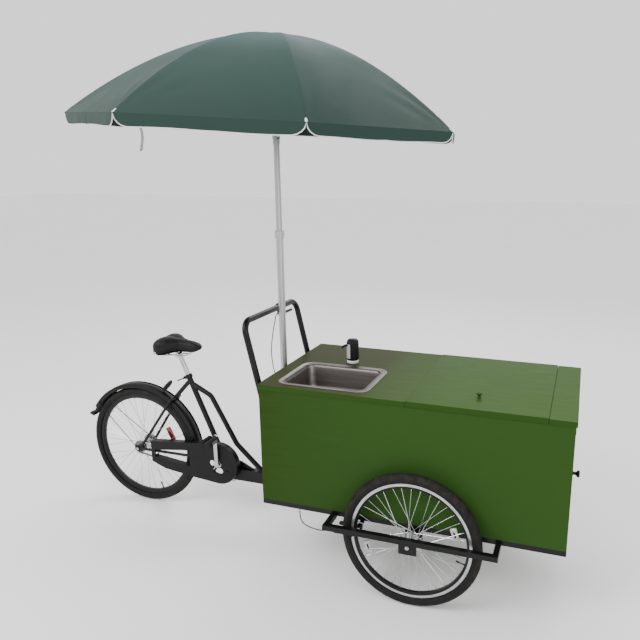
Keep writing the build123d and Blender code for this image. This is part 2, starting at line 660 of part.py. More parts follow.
with BuildPart() as door:
    door_half = DOOR_HALF - DOOR_GAP
    span(BOX_X1 - BOARD, BOX_X1, -door_half, door_half, DOOR_Z0 + DOOR_GAP, DOOR_HINGE_Z)
    for y in DOOR_HINGES:
        for y0, y1 in knuckles_beside(y):
            rod((BOX_X1, y0, DOOR_HINGE_Z), (BOX_X1, y1, DOOR_HINGE_Z), KNUCKLE_R)
        gap = KNUCKLE / 2 + KNUCKLE_PLAY
        start = (BOX_X1, y - gap, DOOR_HINGE_Z)
        end = (BOX_X1, y + gap, DOOR_HINGE_Z)
        rod(start, end, KNUCKLE_R + KNUCKLE_PLAY, Mode.SUBTRACT)
    rod((BOX_X1, 0, 565), (BOX_X1 + 18, 0, 565), 8)
    rod((BOX_X1 + 16, 0, 565), (BOX_X1 + 36, 0, 565), 18)
save("front_door", door.part)

TAP_R = 33.0
TAP_H = 130.0
BUTTON_R = 9.0
BUTTON_TRAVEL_GAP = 2.2
with BuildPart() as dispenser:
    rod((TAP_X, TAP_Y, TOP_Z), (TAP_X, TAP_Y, TOP_Z + 16), TAP_R - 2)
    rod((TAP_X, TAP_Y, TOP_Z + 14), (TAP_X, TAP_Y, TOP_Z + TAP_H), TAP_R)
    fillet(dispenser.edges().filter_by(GeomType.CIRCLE).sort_by(Axis.Z)[-1], 12)
    rod((TAP_X - 15, TAP_Y - 15, TOP_Z + 98), (TAP_X - 42, TAP_Y - 42, TOP_Z + 92), 6)
    recess_z = TOP_Z + TAP_H - 3
    rod((TAP_X, TAP_Y, recess_z), (TAP_X, TAP_Y, recess_z + 4), BUTTON_R + 0.3, Mode.SUBTRACT)
save("dispenser", dispenser.part)
with BuildPart() as button:
    rod((TAP_X, TAP_Y, recess_z + BUTTON_TRAVEL_GAP), (TAP_X, TAP_Y, recess_z + 6), BUTTON_R)
save("dispenser_button", button.part)

cans = []
for x in (SINK_X, SINK_X + 275):
    with BuildPart() as can:
        span(x - 85, x + 85, -100 + 20, 130, RAIL_TOP + BOARD, RAIL_TOP + BOARD + 300)
        fillet(can.edges().filter_by(Axis.Z), 30)
        rod((x, 25, RAIL_TOP + BOARD + 298), (x, 25, RAIL_TOP + BOARD + 325), 25)
    cans.append(can.part)
save("water_canisters", Compound(cans))

# ---------------------------------------------------------------- push handle and brake line

HANDLE_Y = 290.0
HANDLE_R = 16.0
BAR_X = FRONT_X - 905.0
BAR_Z = 1255.0
leg_x = BOX_X0 - HANDLE_R - 0.3
with BuildPart() as handle:
    bent_rod(
        [
            (leg_x, -HANDLE_Y, 480),
            (leg_x, -HANDLE_Y, 800),
            (BAR_X, -HANDLE_Y, BAR_Z),
            (BAR_X, HANDLE_Y, BAR_Z),
            (leg_x, HANDLE_Y, 800),
            (leg_x, HANDLE_Y, 480),
        ],
        60,
        HANDLE_R,
    )
LEVER_Y = 110.0
LEVER_Z = BAR_Z - 43.0
with BuildPart() as lever_clamp:
    rod((BAR_X, LEVER_Y - 26, BAR_Z), (BAR_X, LEVER_Y - 2, BAR_Z), HANDLE_R + 6)
    span(BAR_X - 9, BAR_X + 9, LEVER_Y - 26, LEVER_Y - 8, LEVER_Z + 2, BAR_Z - 10)
    span(BAR_X - 9, BAR_X - 6, LEVER_Y - 12, LEVER_Y + 10, LEVER_Z - 8, LEVER_Z + 22)
    span(BAR_X + 6, BAR_X + 9, LEVER_Y - 12, LEVER_Y + 10, LEVER_Z - 8, LEVER_Z + 22)
    rod((BAR_X - 9, LEVER_Y, LEVER_Z), (BAR_X + 9, LEVER_Y, LEVER_Z), 2.5)
    rod((BAR_X, LEVER_Y - 27, BAR_Z), (BAR_X, LEVER_Y - 1, BAR_Z), HANDLE_R + 0.02, Mode.SUBTRACT)
save("push_handle", Compound([handle.part, lever_clamp.part]))
with BuildPart() as lever:
    with BuildSketch(Plane(origin=(BAR_X - 5.5, 0, 0), x_dir=(0, 1, 0), z_dir=(1, 0, 0))):
        with Locations((LEVER_Y, LEVER_Z)):
            Circle(7)
        with BuildLine():
            Polyline(
                (LEVER_Y, LEVER_Z + 7),
                (LEVER_Y + 130, LEVER_Z + 3),
                (LEVER_Y + 130, LEVER_Z - 7),
                (LEVER_Y, LEVER_Z - 7),
                close=True,
            )
        make_face()
        with Locations((LEVER_Y, LEVER_Z)):
            Circle(2.5 + RUN, mode=Mode.SUBTRACT)
    extrude(amount=11)
save("brake_lever", lever.part)

CABLE_R = 2.5
trunk = [
    (BAR_X, LEVER_Y - 26.8, LEVER_Z + 12),
    (BAR_X, LEVER_Y - 56, LEVER_Z + 8),
    (BAR_X - 2, LEVER_Y - 100, LEVER_Z - 90),
    (BAR_X - 6, LEVER_Y - 116, LEVER_Z - 180),
    (BAR_X + 2, LEVER_Y - 118, LEVER_Z - 260),
    (BAR_X + 22, LEVER_Y - 122, LEVER_Z - 330),
    (BOX_X0 - 14, LEVER_Y - 158, LEVER_Z - 480),
    (BOX_X0 - 7, LEVER_Y - 164, LEVER_Z - 560),
    (BOX_X0 - 7, LEVER_Y - 166, 400),
    (BOX_X0 - 7, LEVER_Y - 166, 337),
    (BOX_X0 + 50, LEVER_Y - 164, 337),
    (BOX_X0 + 110, LEVER_Y - 150, 333),
]


def cord(points):
    """A housing along straight runs joined by arcs as large as the runs allow."""
    radii = []
    for before, here, after in zip(points, points[1:], points[2:]):
        a = Vector(*here) - Vector(*before)
        b = Vector(*after) - Vector(*here)
        half = radians(a.get_angle(b)) / 2
        radii.append(0.45 * min(a.length, b.length) / (sin(half) / cos(half)))
    bent_rod(points, radii, CABLE_R)


cables = []
with BuildPart() as trunk_line:
    cord(trunk)
    rod(trunk[-1], (trunk[-1][0] + 40, trunk[-1][1], trunk[-1][2]), 8)
cables.append(trunk_line.part)
split = (trunk[-1][0] + 40, trunk[-1][1], trunk[-1][2])
tail_x = FRONT_X - 374
for sign in (-1, 1):
    with BuildPart() as branch:
        cord(
            [
                (split[0], split[1] + sign * 5, split[2]),
                (split[0] + 60, split[1] + sign * 40, 331),
                (split[0] + 100, sign * 190, 334),
                (FRONT_X - 620, sign * 300, 334),
                (FRONT_X - 590, sign * 372, 326),
                (FRONT_X - 560, sign * 412, 300),
                (FRONT_X - 505, sign * 425, 290),
                (FRONT_X - 450, sign * 440, 296),
                (FRONT_X - 405, sign * 458, 316),
                (tail_x, sign * 466, 332),
            ]
        )
    cables.append(branch.part)
save("brake_cables", Compound(cables))

# ---------------------------------------------------------------- parasol

POLE_TOP = 1672.0
UPPER_R = 15.0
UPPER_FOOT = 1250.0
CLAMP_R = 23.0
with BuildPart() as lower_pole:
    rod((MAST_X, MAST_Y, RAIL_Z + 8), (MAST_X, MAST_Y, POLE_TOP), POLE_R)
    rod((MAST_X, MAST_Y, RAIL_Z + 30), (MAST_X, MAST_Y, POLE_TOP + 1), UPPER_R + 0.3, Mode.SUBTRACT)
with BuildPart() as pole_collar:
    rod((MAST_X, MAST_Y, POLE_TOP - 34), (MAST_X, MAST_Y, POLE_TOP + 6), CLAMP_R)
    rod((MAST_X, MAST_Y, POLE_TOP - 35), (MAST_X, MAST_Y, POLE_TOP + 0.02), POLE_R + 0.02, Mode.SUBTRACT)
    rod((MAST_X, MAST_Y, POLE_TOP - 1), (MAST_X, MAST_Y, POLE_TOP + 7), UPPER_R + 0.3, Mode.SUBTRACT)
    rod((MAST_X, MAST_Y + CLAMP_R - 2, POLE_TOP - 14), (MAST_X, MAST_Y + CLAMP_R + 18, POLE_TOP - 14), 9)
save("parasol_lower_pole", Compound([lower_pole.part, pole_collar.part]))
tilt_axis = (-LEAN_Y, LEAN_X, 0)
FORK_IN = 7.0
FORK_T = 7.0
EYE_R = 13.0
across_tilt = Plane(origin=(MAST_X, MAST_Y, KNUCKLE_Z), x_dir=(-LEAN_X, -LEAN_Y, 0), z_dir=tilt_axis)
with BuildPart() as upper_pole:
    rod((MAST_X, MAST_Y, UPPER_FOOT), (MAST_X, MAST_Y, KNUCKLE_Z - 27), UPPER_R)
    rod((MAST_X, MAST_Y, KNUCKLE_Z - 40), (MAST_X, MAST_Y, KNUCKLE_Z - 14), 17)
    for start in (-FORK_IN - FORK_T, FORK_IN):
        with BuildSketch(across_tilt.offset(start)):
            Circle(EYE_R)
            with Locations((0, -8)):
                Rectangle(2 * EYE_R, 16)
            Circle(4 + RUN, mode=Mode.SUBTRACT)
        extrude(amount=FORK_T)
save("parasol_upper_pole", upper_pole.part)

lean = radians(LEAN)
head_z = (LEAN_X * sin(lean), LEAN_Y * sin(lean), cos(lean))
HEAD = Plane(origin=(MAST_X, MAST_Y, KNUCKLE_Z), x_dir=tilt_axis, z_dir=head_z)


def head_point(angle, r, h):
    """A point of the parasol's head: compass angle from +X, radius and height on its own axis."""
    turn = radians(angle)
    tipped = Vector(r * cos(turn), r * sin(turn), h).rotate(Axis((0, 0, 0), tilt_axis), LEAN)
    return Vector(MAST_X, MAST_Y, KNUCKLE_Z) + tipped


def radial_plane(angle):
    """Drawing plane along a rib: local x outwards, local y up the head's axis."""
    out = head_point(angle, 1, 0) - head_point(angle, 0, 0)
    up = head_point(angle, 0, 1) - head_point(angle, 0, 0)
    return Plane(origin=head_point(angle, 0, 0), x_dir=out, z_dir=out.cross(up))


def dome(r):
    return RIM_H + DOME * (1 - (r / CANOPY_R) ** DOME_POWER)


HUB_R = 16.0
HUB_H = 452.0
HUB_T = 16.0
RIB_T = 3.0
RIB_DEPTH = 4.4
SLOT_W = 4.4
RUNNER_H = 288.0
FOOT_R = 21.0
JOINT_R = 197.0
JOINT_H = dome(JOINT_R) - 28.0
POLE_END = HUB_H - HUB_T / 2
with BuildPart(HEAD) as head_pole:
    with Locations((0, 0, EYE_R + 3)):
        Cylinder(UPPER_R, POLE_END - EYE_R - 3, align=(Align.CENTER, Align.CENTER, Align.MIN))
    Box(2 * FORK_IN - 0.4, 2 * EYE_R - 1, EYE_R + 4, align=(Align.CENTER, Align.CENTER, Align.MIN))
    with Locations(Rotation(0, 90, 0)):
        Cylinder(EYE_R - 0.5, 2 * FORK_IN - 0.4)
        Cylinder(4, 2 * FORK_IN + 2 * FORK_T)
save("parasol_head_pole", head_pole.part)


compass = [RIB_PHASE + 360 / RIBS * i for i in range(RIBS)]


def slotted(h, pin_r):
    """Cut one slot per rib into the open part's hub, leaving its pin."""
    for angle in compass:
        with Locations(radial_plane(angle)):
            with Locations((pin_r + 7, h, 0)):
                Box(24, HUB_T + 2, SLOT_W, mode=Mode.SUBTRACT)
            with Locations((pin_r, h, 0)):
                Cylinder(1.5, SLOT_W + 1)


with BuildPart() as crown_hub:
    with Locations(HEAD.offset(HUB_H)):
        Cylinder(HUB_R + 9, HUB_T)
    slotted(HUB_H, HUB_R)
    with Locations(HEAD.offset(HUB_H + HUB_T / 2)):
        Cylinder(9, 12, align=(Align.CENTER, Align.CENTER, Align.MIN))
save("parasol_crown", crown_hub.part)
with BuildPart() as runner:
    with Locations(HEAD.offset(RUNNER_H)):
        Cylinder(FOOT_R + 9, HUB_T)
    slotted(RUNNER_H, FOOT_R)
    with Locations(HEAD.offset(RUNNER_H - 40)):
        Cylinder(22, 34, align=(Align.CENTER, Align.CENTER, Align.MIN))
    with Locations(HEAD.offset(RUNNER_H - 60)):
        Cylinder(
            UPPER_R + 0.3, 90, align=(Align.CENTER, Align.CENTER, Align.MIN), mode=Mode.SUBTRACT
        )
save("parasol_runner", runner.part)

rib_line = [(HUB_R, HUB_H)]
for step in (0.15, 0.3, 0.45, 0.6, 0.75, 0.9, 0.996):
    rib_line.append((CANOPY_R * step, dome(CANOPY_R * step) - 4.5 - RIB_DEPTH / 2))
for i, angle in enumerate(compass):
    plane = radial_plane(angle)
    with BuildPart() as rib:
        with BuildSketch(plane.offset(-RIB_T / 2)):
            with BuildLine():
                top_edge = Spline(*[(x, y + RIB_DEPTH / 2) for x, y in rib_line])
                low_edge = Spline(*[(x, y - RIB_DEPTH / 2) for x, y in rib_line])
                Line(top_edge @ 0, low_edge @ 0)
                Line(top_edge @ 1, low_edge @ 1)
            make_face()
            with Locations((HUB_R, HUB_H)):
                Circle(3.6)
                Circle(1.5 + RUN, mode=Mode.SUBTRACT)
        extrude(amount=RIB_T)
    save(f"parasol_rib_{i + 1}", rib.part)
    run = Vector(JOINT_R - FOOT_R, JOINT_H - RUNNER_H)
    with BuildPart() as stretcher:
        with BuildSketch(plane.offset(-RIB_T / 2)):
            with Locations(((FOOT_R + JOINT_R) / 2, (RUNNER_H + JOINT_H) / 2)):
                SlotCenterToCenter(run.length, 5, rotation=degrees(atan2(run.Y, run.X)))
            with Locations((FOOT_R, RUNNER_H)):
                Circle(3.6)
                Circle(1.5 + RUN, mode=Mode.SUBTRACT)
        extrude(amount=RIB_T)
    save(f"parasol_stretcher_{i + 1}", stretcher.part)

VALANCE = 66.0
CLOTH = 1.5
levels = [1.0, 0.92, 0.84, 0.76, 0.68, 0.6, 0.52, 0.44, 0.36, 0.28, 0.2, 0.12, 0.05]
seam_turn = RIB_PHASE - degrees(atan2(LEAN_X, -LEAN_Y))


def gore_stack(shrink):
    """Eight gores from the rim to the crown, as a stack of octagons."""
    loops = []
    for level in levels:
        r = CANOPY_R * level
        with BuildSketch(HEAD.offset(dome(r) - shrink)) as octagon:
            RegularPolygon(r - shrink * level, RIBS, rotation=seam_turn)
        loops.append(octagon.sketch)
    return loops


with BuildPart() as canopy:
    loft(sections=gore_stack(0), ruled=True)
    loft(sections=gore_stack(CLOTH), ruled=True, mode=Mode.SUBTRACT)
    with BuildSketch(HEAD.offset(RIM_H - VALANCE)) as band:
        RegularPolygon(CANOPY_R, RIBS, rotation=seam_turn)
        RegularPolygon(CANOPY_R - CLOTH, RIBS, rotation=seam_turn, mode=Mode.SUBTRACT)
    extrude(amount=VALANCE)
    with Locations(HEAD.offset(dome(0))):
        Cylinder(9.4, 40, mode=Mode.SUBTRACT)
save("canopy", canopy.part)
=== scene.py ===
"""Cargo bicycle with sink box and parasol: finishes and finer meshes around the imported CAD."""

import json
import math

import bmesh
import bpy
from mathutils import Matrix, Vector


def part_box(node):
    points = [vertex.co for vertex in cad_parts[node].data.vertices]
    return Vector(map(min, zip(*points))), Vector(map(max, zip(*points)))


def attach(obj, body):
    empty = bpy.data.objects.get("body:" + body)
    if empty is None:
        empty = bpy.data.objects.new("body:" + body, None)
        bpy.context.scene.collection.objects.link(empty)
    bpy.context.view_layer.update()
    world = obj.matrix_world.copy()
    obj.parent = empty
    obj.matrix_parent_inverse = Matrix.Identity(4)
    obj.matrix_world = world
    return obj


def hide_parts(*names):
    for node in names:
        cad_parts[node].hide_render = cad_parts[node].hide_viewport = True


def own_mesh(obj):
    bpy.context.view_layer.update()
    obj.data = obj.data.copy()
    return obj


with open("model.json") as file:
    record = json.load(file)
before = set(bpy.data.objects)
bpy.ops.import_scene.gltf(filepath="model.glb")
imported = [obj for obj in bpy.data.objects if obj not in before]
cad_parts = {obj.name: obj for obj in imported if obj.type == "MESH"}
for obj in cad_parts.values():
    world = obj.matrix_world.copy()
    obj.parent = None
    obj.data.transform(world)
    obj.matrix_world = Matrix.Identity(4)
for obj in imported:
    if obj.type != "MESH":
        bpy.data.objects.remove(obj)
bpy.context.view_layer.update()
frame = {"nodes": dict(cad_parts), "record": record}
NODES = frame["nodes"]
JOINTS = {j["name"]: j for j in frame["record"]["behaviour"]["joints"]}


def at(joint):
    return Vector(JOINTS[joint]["pos_m"])


def corners(node):
    """A CAD node's box: its lowest corner and its highest."""
    return tuple(Vector(c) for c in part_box(node))


def middle(node):
    low, high = corners(node)
    return (low + high) / 2


# ------------------------------------------------------------------ materials


def shader(name, color, rough=0.5, metal=0.0, spec=0.5, coat=0.0, coat_rough=0.1, sheen=0.0):
    """A new material: (material, nodes, links, shader node)."""
    material = bpy.data.materials.new(name)
    material.use_nodes = True
    nodes = material.node_tree.nodes
    links = material.node_tree.links
    bsdf = nodes["Principled BSDF"]
    bsdf.inputs["Base Color"].default_value = (*color, 1)
    bsdf.inputs["Roughness"].default_value = rough
    bsdf.inputs["Metallic"].default_value = metal
    bsdf.inputs["Specular IOR Level"].default_value = spec
    bsdf.inputs["Coat Weight"].default_value = coat
    bsdf.inputs["Coat Roughness"].default_value = coat_rough
    bsdf.inputs["Sheen Weight"].default_value = sheen
    material.diffuse_color = (*color, 1)
    return material, nodes, links, bsdf


def coords(nodes, links, scale):
    """Object coordinates stretched by scale along each axis."""
    source = nodes.new("ShaderNodeTexCoord")
    mapping = nodes.new("ShaderNodeMapping")
    mapping.inputs["Scale"].default_value = scale
    links.new(source.outputs["Object"], mapping.inputs["Vector"])
    return mapping.outputs["Vector"]


def noise(nodes, links, vector, scale, detail=4.0, rough=0.55):
    tex = nodes.new("ShaderNodeTexNoise")
    tex.inputs["Scale"].default_value = scale
    tex.inputs["Detail"].default_value = detail
    tex.inputs["Roughness"].default_value = rough
    links.new(vector, tex.inputs["Vector"])
    return tex.outputs["Fac"]


def ramp(nodes, links, fac, stops):
    node = nodes.new("ShaderNodeValToRGB")
    elements = node.color_ramp.elements
    while len(elements) < len(stops):
        elements.new(0.5)
    for element, (pos, color) in zip(elements, stops):
        element.position = pos
        element.color = (*color, 1)
    links.new(fac, node.inputs["Fac"])
    return node.outputs["Color"]


def spread(nodes, links, fac, low, high):
    node = nodes.new("ShaderNodeMapRange")
    node.inputs["From Min"].default_value = 0.3
    node.inputs["From Max"].default_value = 0.7
    node.inputs["To Min"].default_value = low
    node.inputs["To Max"].default_value = high
    links.new(fac, node.inputs["Value"])
    return node.outputs["Result"]


def bump(nodes, links, bsdf, height, strength, distance):
    node = nodes.new("ShaderNodeBump")
    node.inputs["Strength"].default_value = strength
    node.inputs["Distance"].default_value = distance
    links.new(height, node.inputs["Height"])
    links.new(node.outputs["Normal"], bsdf.inputs["Normal"])


def finish(
    name, dark, light, rough, grain, relief=0.1, depth=0.0004, stretch=(1, 1, 1), slot=None, **more
):
    """A finish whose colour, gloss and relief vary with layered noise."""
    mean = tuple((a + b) / 2 for a, b in zip(dark, light))
    material, nodes, links, bsdf = shader(name, mean, (rough[0] + rough[1]) / 2, **more)
    vector = coords(nodes, links, stretch)
    wide = noise(nodes, links, vector, grain)
    fine = noise(nodes, links, vector, grain * 9, 6.0, 0.65)
    links.new(ramp(nodes, links, wide, [(0.3, dark), (0.7, light)]), bsdf.inputs["Base Color"])
    links.new(spread(nodes, links, fine, *rough), bsdf.inputs["Roughness"])
    bump(nodes, links, bsdf, fine, relief, depth)
    return material


BLACK = finish(
    "black_enamel", (0.0030, 0.0030, 0.0034), (0.0055, 0.0055, 0.0060), (0.28, 0.42), 14, 0.06, spec=0.22
)
GUARD = finish(
    "guard_black", (0.0030, 0.0030, 0.0032), (0.0052, 0.0052, 0.0054), (0.34, 0.46), 9, 0.05, spec=0.18
)
PLASTIC = finish(
    "moulded_plastic", (0.004, 0.004, 0.0045), (0.008, 0.008, 0.0085), (0.42, 0.56), 40, 0.25, 0.0003,
    spec=0.22,
)
RUBBER = finish(
    "rubber", (0.005, 0.005, 0.005), (0.010, 0.0098, 0.0095), (0.6, 0.8), 55, 0.3, 0.0003, spec=0.18
)
TREAD = finish(
    "tread_rubber", (0.008, 0.0075, 0.007), (0.022, 0.019, 0.016), (0.7, 0.9), 30, 0.35, 0.0005, spec=0.15
)
ALLOY = finish(
    "satin_alloy", (0.42, 0.42, 0.43), (0.55, 0.55, 0.56), (0.28, 0.42), 20, 0.08, metal=1.0
)
POLE = finish(
    "drawn_alloy", (0.36, 0.36, 0.365), (0.50, 0.50, 0.505), (0.32, 0.46), 60, 0.1, 0.0002,
    (1, 1, 0.03), metal=0.85,
)
BRIGHT = finish(
    "bright_steel", (0.42, 0.42, 0.43), (0.56, 0.56, 0.57), (0.16, 0.28), 16, 0.04, metal=1.0
)
# painted reflection: base colour kept dark to stand for dark surroundings reflected in the sink
DARK_REFLECTION_STEEL = finish(
    "brushed_stainless", (0.15, 0.134, 0.125), (0.235, 0.215, 0.205), (0.30, 0.44), 24, 0.12, 0.0002,
    (0.12, 2.2, 2.2), metal=1.0,
)
GREY = finish("grey_zinc", (0.12, 0.12, 0.12), (0.22, 0.22, 0.21), (0.35, 0.55), 30, 0.15, metal=0.9)
WHITE = finish("white_trim", (0.62, 0.63, 0.62), (0.76, 0.76, 0.75), (0.45, 0.6), 30, 0.15)
CLEAR = finish("milky_plastic", (0.42, 0.46, 0.48), (0.52, 0.55, 0.56), (0.25, 0.4), 12, 0.05)
RED = finish("red_lens", (0.12, 0.002, 0.004), (0.22, 0.005, 0.008), (0.14, 0.24), 80, 0.3, coat=0.3)
AMBER = finish("amber_lens", (0.55, 0.13, 0.008), (0.68, 0.19, 0.012), (0.14, 0.24), 80, 0.3, coat=0.3)
SILVER = finish(
    "silver_trim", (0.50, 0.50, 0.50), (0.62, 0.62, 0.62), (0.3, 0.42), 30, 0.06, metal=0.35
)
LENS = finish("clear_lens", (0.34, 0.34, 0.34), (0.48, 0.48, 0.47), (0.14, 0.24), 80, 0.3, coat=0.3)
STRAP = finish("grey_strap", (0.16, 0.17, 0.17), (0.24, 0.24, 0.24), (0.7, 0.85), 120, 0.4)


def painted_wood(name, near, far, rough, x_from, x_to, edge=None):
    """Green paint over board: long grain, cloudy sheen, and painted light that moves its tone from near to far
    along x.

    With edge = (height, colour), everything below that height has the edge's colour: painted shade on the
    board's sides."""
    mean = tuple((a + b) / 2 for a, b in zip(near, far))
    material, nodes, links, bsdf = shader(name, mean, (rough[0] + rough[1]) / 2, spec=0.06)
    grain = noise(nodes, links, coords(nodes, links, (1.0, 9.0, 9.0)), 6.0, 8.0, 0.6)
    source = nodes.new("ShaderNodeTexCoord")
    split = nodes.new("ShaderNodeSeparateXYZ")
    links.new(source.outputs["Object"], split.inputs[0])
    # painted light: x moves the colour from near (the darker end) to far along the board
    drift = nodes.new("ShaderNodeMapRange")
    drift.inputs["From Min"].default_value = x_from
    drift.inputs["From Max"].default_value = x_to
    links.new(split.outputs["X"], drift.inputs["Value"])
    wander = nodes.new("ShaderNodeMath")
    wander.operation = "MULTIPLY_ADD"
    wander.inputs[1].default_value = 0.55
    links.new(grain, wander.inputs[0])
    links.new(drift.outputs["Result"], wander.inputs[2])
    stops = [(0.18, near), (0.46, tuple(n * 0.4 + f * 0.6 for n, f in zip(near, far))), (1.0, far)]
    color = ramp(nodes, links, wander.outputs[0], stops)
    # painted shade: below the edge height the board's sides and underside take the edge colour
    if edge:
        height, tone = edge
        step = nodes.new("ShaderNodeMapRange")
        step.inputs["From Min"].default_value = height - 0.0006
        step.inputs["From Max"].default_value = height
        links.new(split.outputs["Z"], step.inputs["Value"])
        mix = nodes.new("ShaderNodeMix")
        mix.data_type = "RGBA"
        mix.inputs["A"].default_value = (*tone, 1)
        links.new(step.outputs["Result"], mix.inputs["Factor"])
        links.new(color, mix.inputs["B"])
        color = mix.outputs["Result"]
    links.new(color, bsdf.inputs["Base Color"])
    links.new(spread(nodes, links, grain, *rough), bsdf.inputs["Roughness"])
    bump(nodes, links, bsdf, grain, 0.10, 0.0005)
    return material


TOP_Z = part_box("worktop")[1][2]
LID_Z = at("lid_hinge").z + 0.028
# painted shade: the top and lid boards' sides, darker than their lit top faces
SHADED_EDGE_GREEN = (0.0190, 0.0500, 0.0070)
# painted reflection: brownish olive at the near end of the top and lid
OLIVE_REFLECTION = (0.028, 0.0265, 0.0035)
LEAF_GREEN = (0.032, 0.081, 0.0068)
# the sides' darker, shaded copy of the green paint; painted light lightens it toward larger x
SIDE_GREEN = painted_wood(
    "green_side", (0.0165, 0.0370, 0.0034), (0.0225, 0.0570, 0.0095), (0.46, 0.6), -0.1, 0.8
)
# painted light: the top and lid are lit, lighter copies of the same green paint as the sides
LIT_TOP_GREEN = painted_wood("lit_green_top", OLIVE_REFLECTION, LEAF_GREEN, (0.42, 0.54), 0.42, 0.95, (TOP_Z - 0.001, SHADED_EDGE_GREEN))
LIT_LID_GREEN = painted_wood("lit_green_lid", OLIVE_REFLECTION, LEAF_GREEN, (0.42, 0.54), 0.42, 0.95, (LID_Z - 0.001, SHADED_EDGE_GREEN))


def leather():
    material, nodes, links, bsdf = shader("saddle_cover", (0.004, 0.004, 0.005), 0.5, spec=0.22)
    vector = coords(nodes, links, (1, 1, 1))
    cells = nodes.new("ShaderNodeTexVoronoi")
    cells.inputs["Scale"].default_value = 420
    links.new(vector, cells.inputs["Vector"])
    cloud = noise(nodes, links, vector, 22)
    links.new(
        ramp(nodes, links, cloud, [(0.3, (0.003, 0.003, 0.004)), (0.7, (0.007, 0.007, 0.008))]),
        bsdf.inputs["Base Color"],
    )
    links.new(spread(nodes, links, cloud, 0.42, 0.6), bsdf.inputs["Roughness"])
    bump(nodes, links, bsdf, cells.outputs["Distance"], 0.3, 0.0005)
    return material


LEATHER = leather()


def awning():
    """Woven polyester: two crossed thread waves over a cloudy green, with a painted highlight lightening it
    toward the top.
    """
    material, nodes, links, bsdf = shader("canopy_cloth", (0.022, 0.055, 0.043), 0.6, spec=0.2)
    vector = coords(nodes, links, (1, 1, 1))
    cloud = noise(nodes, links, vector, 2.2, 5.0)
    source = nodes.new("ShaderNodeTexCoord")
    split = nodes.new("ShaderNodeSeparateXYZ")
    links.new(source.outputs["Object"], split.inputs[0])
    # painted highlight: the cloth is lighter toward the top of the canopy
    rise = nodes.new("ShaderNodeMapRange")
    rise.inputs["From Min"].default_value = 2.15
    rise.inputs["From Max"].default_value = 2.62
    links.new(split.outputs["Z"], rise.inputs["Value"])
    cloud_and_highlight = nodes.new("ShaderNodeMath")
    cloud_and_highlight.operation = "MULTIPLY_ADD"
    cloud_and_highlight.inputs[1].default_value = 0.3
    links.new(cloud, cloud_and_highlight.inputs[0])
    links.new(rise.outputs["Result"], cloud_and_highlight.inputs[2])
    tones = [(0.2, (0.013, 0.034, 0.027)), (0.8, (0.021, 0.052, 0.043)), (1.0, (0.040, 0.082, 0.082))]
    links.new(ramp(nodes, links, cloud_and_highlight.outputs[0], tones), bsdf.inputs["Base Color"])
    threads = []
    for direction in ("X", "Y"):
        wave = nodes.new("ShaderNodeTexWave")
        wave.bands_direction = direction
        wave.inputs["Scale"].default_value = 260
        wave.inputs["Distortion"].default_value = 0.6
        links.new(vector, wave.inputs["Vector"])
        threads.append(wave.outputs["Fac"])
    weave = nodes.new("ShaderNodeMath")
    weave.operation = "MULTIPLY"
    links.new(threads[0], weave.inputs[0])
    links.new(threads[1], weave.inputs[1])
    links.new(spread(nodes, links, cloud, 0.5, 0.66), bsdf.inputs["Roughness"])
    bump(nodes, links, bsdf, weave.outputs[0], 0.2, 0.0005)
    return material


CANOPY = awning()

# ------------------------------------------------------------------ mesh code


def piece(name, verts, faces, mats, body, slot, marks=None, smooth=True, hard=35):
    """A mesh in the shared frame that rides on a body."""
    mesh = bpy.data.meshes.new(name)
    mesh.from_pydata([tuple(v) for v in verts], [], faces)
    for material in mats:
        mesh.materials.append(material)
    if marks:
        mesh.polygons.foreach_set("material_index", marks)
    obj = bpy.data.objects.new(name, mesh)
    bpy.context.scene.collection.objects.link(obj)
    work = bmesh.new()
    work.from_mesh(mesh)
    bmesh.ops.recalc_face_normals(work, faces=work.faces)
    work.to_mesh(mesh)
    work.free()
    if smooth:
        mesh.shade_smooth()
        mesh.set_sharp_from_angle(angle=math.radians(hard))
    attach(obj, body)
    return obj


def axes_of(direction):
    z = Vector(direction).normalized()
    x = z.orthogonal().normalized()
    return x, z.cross(x), z


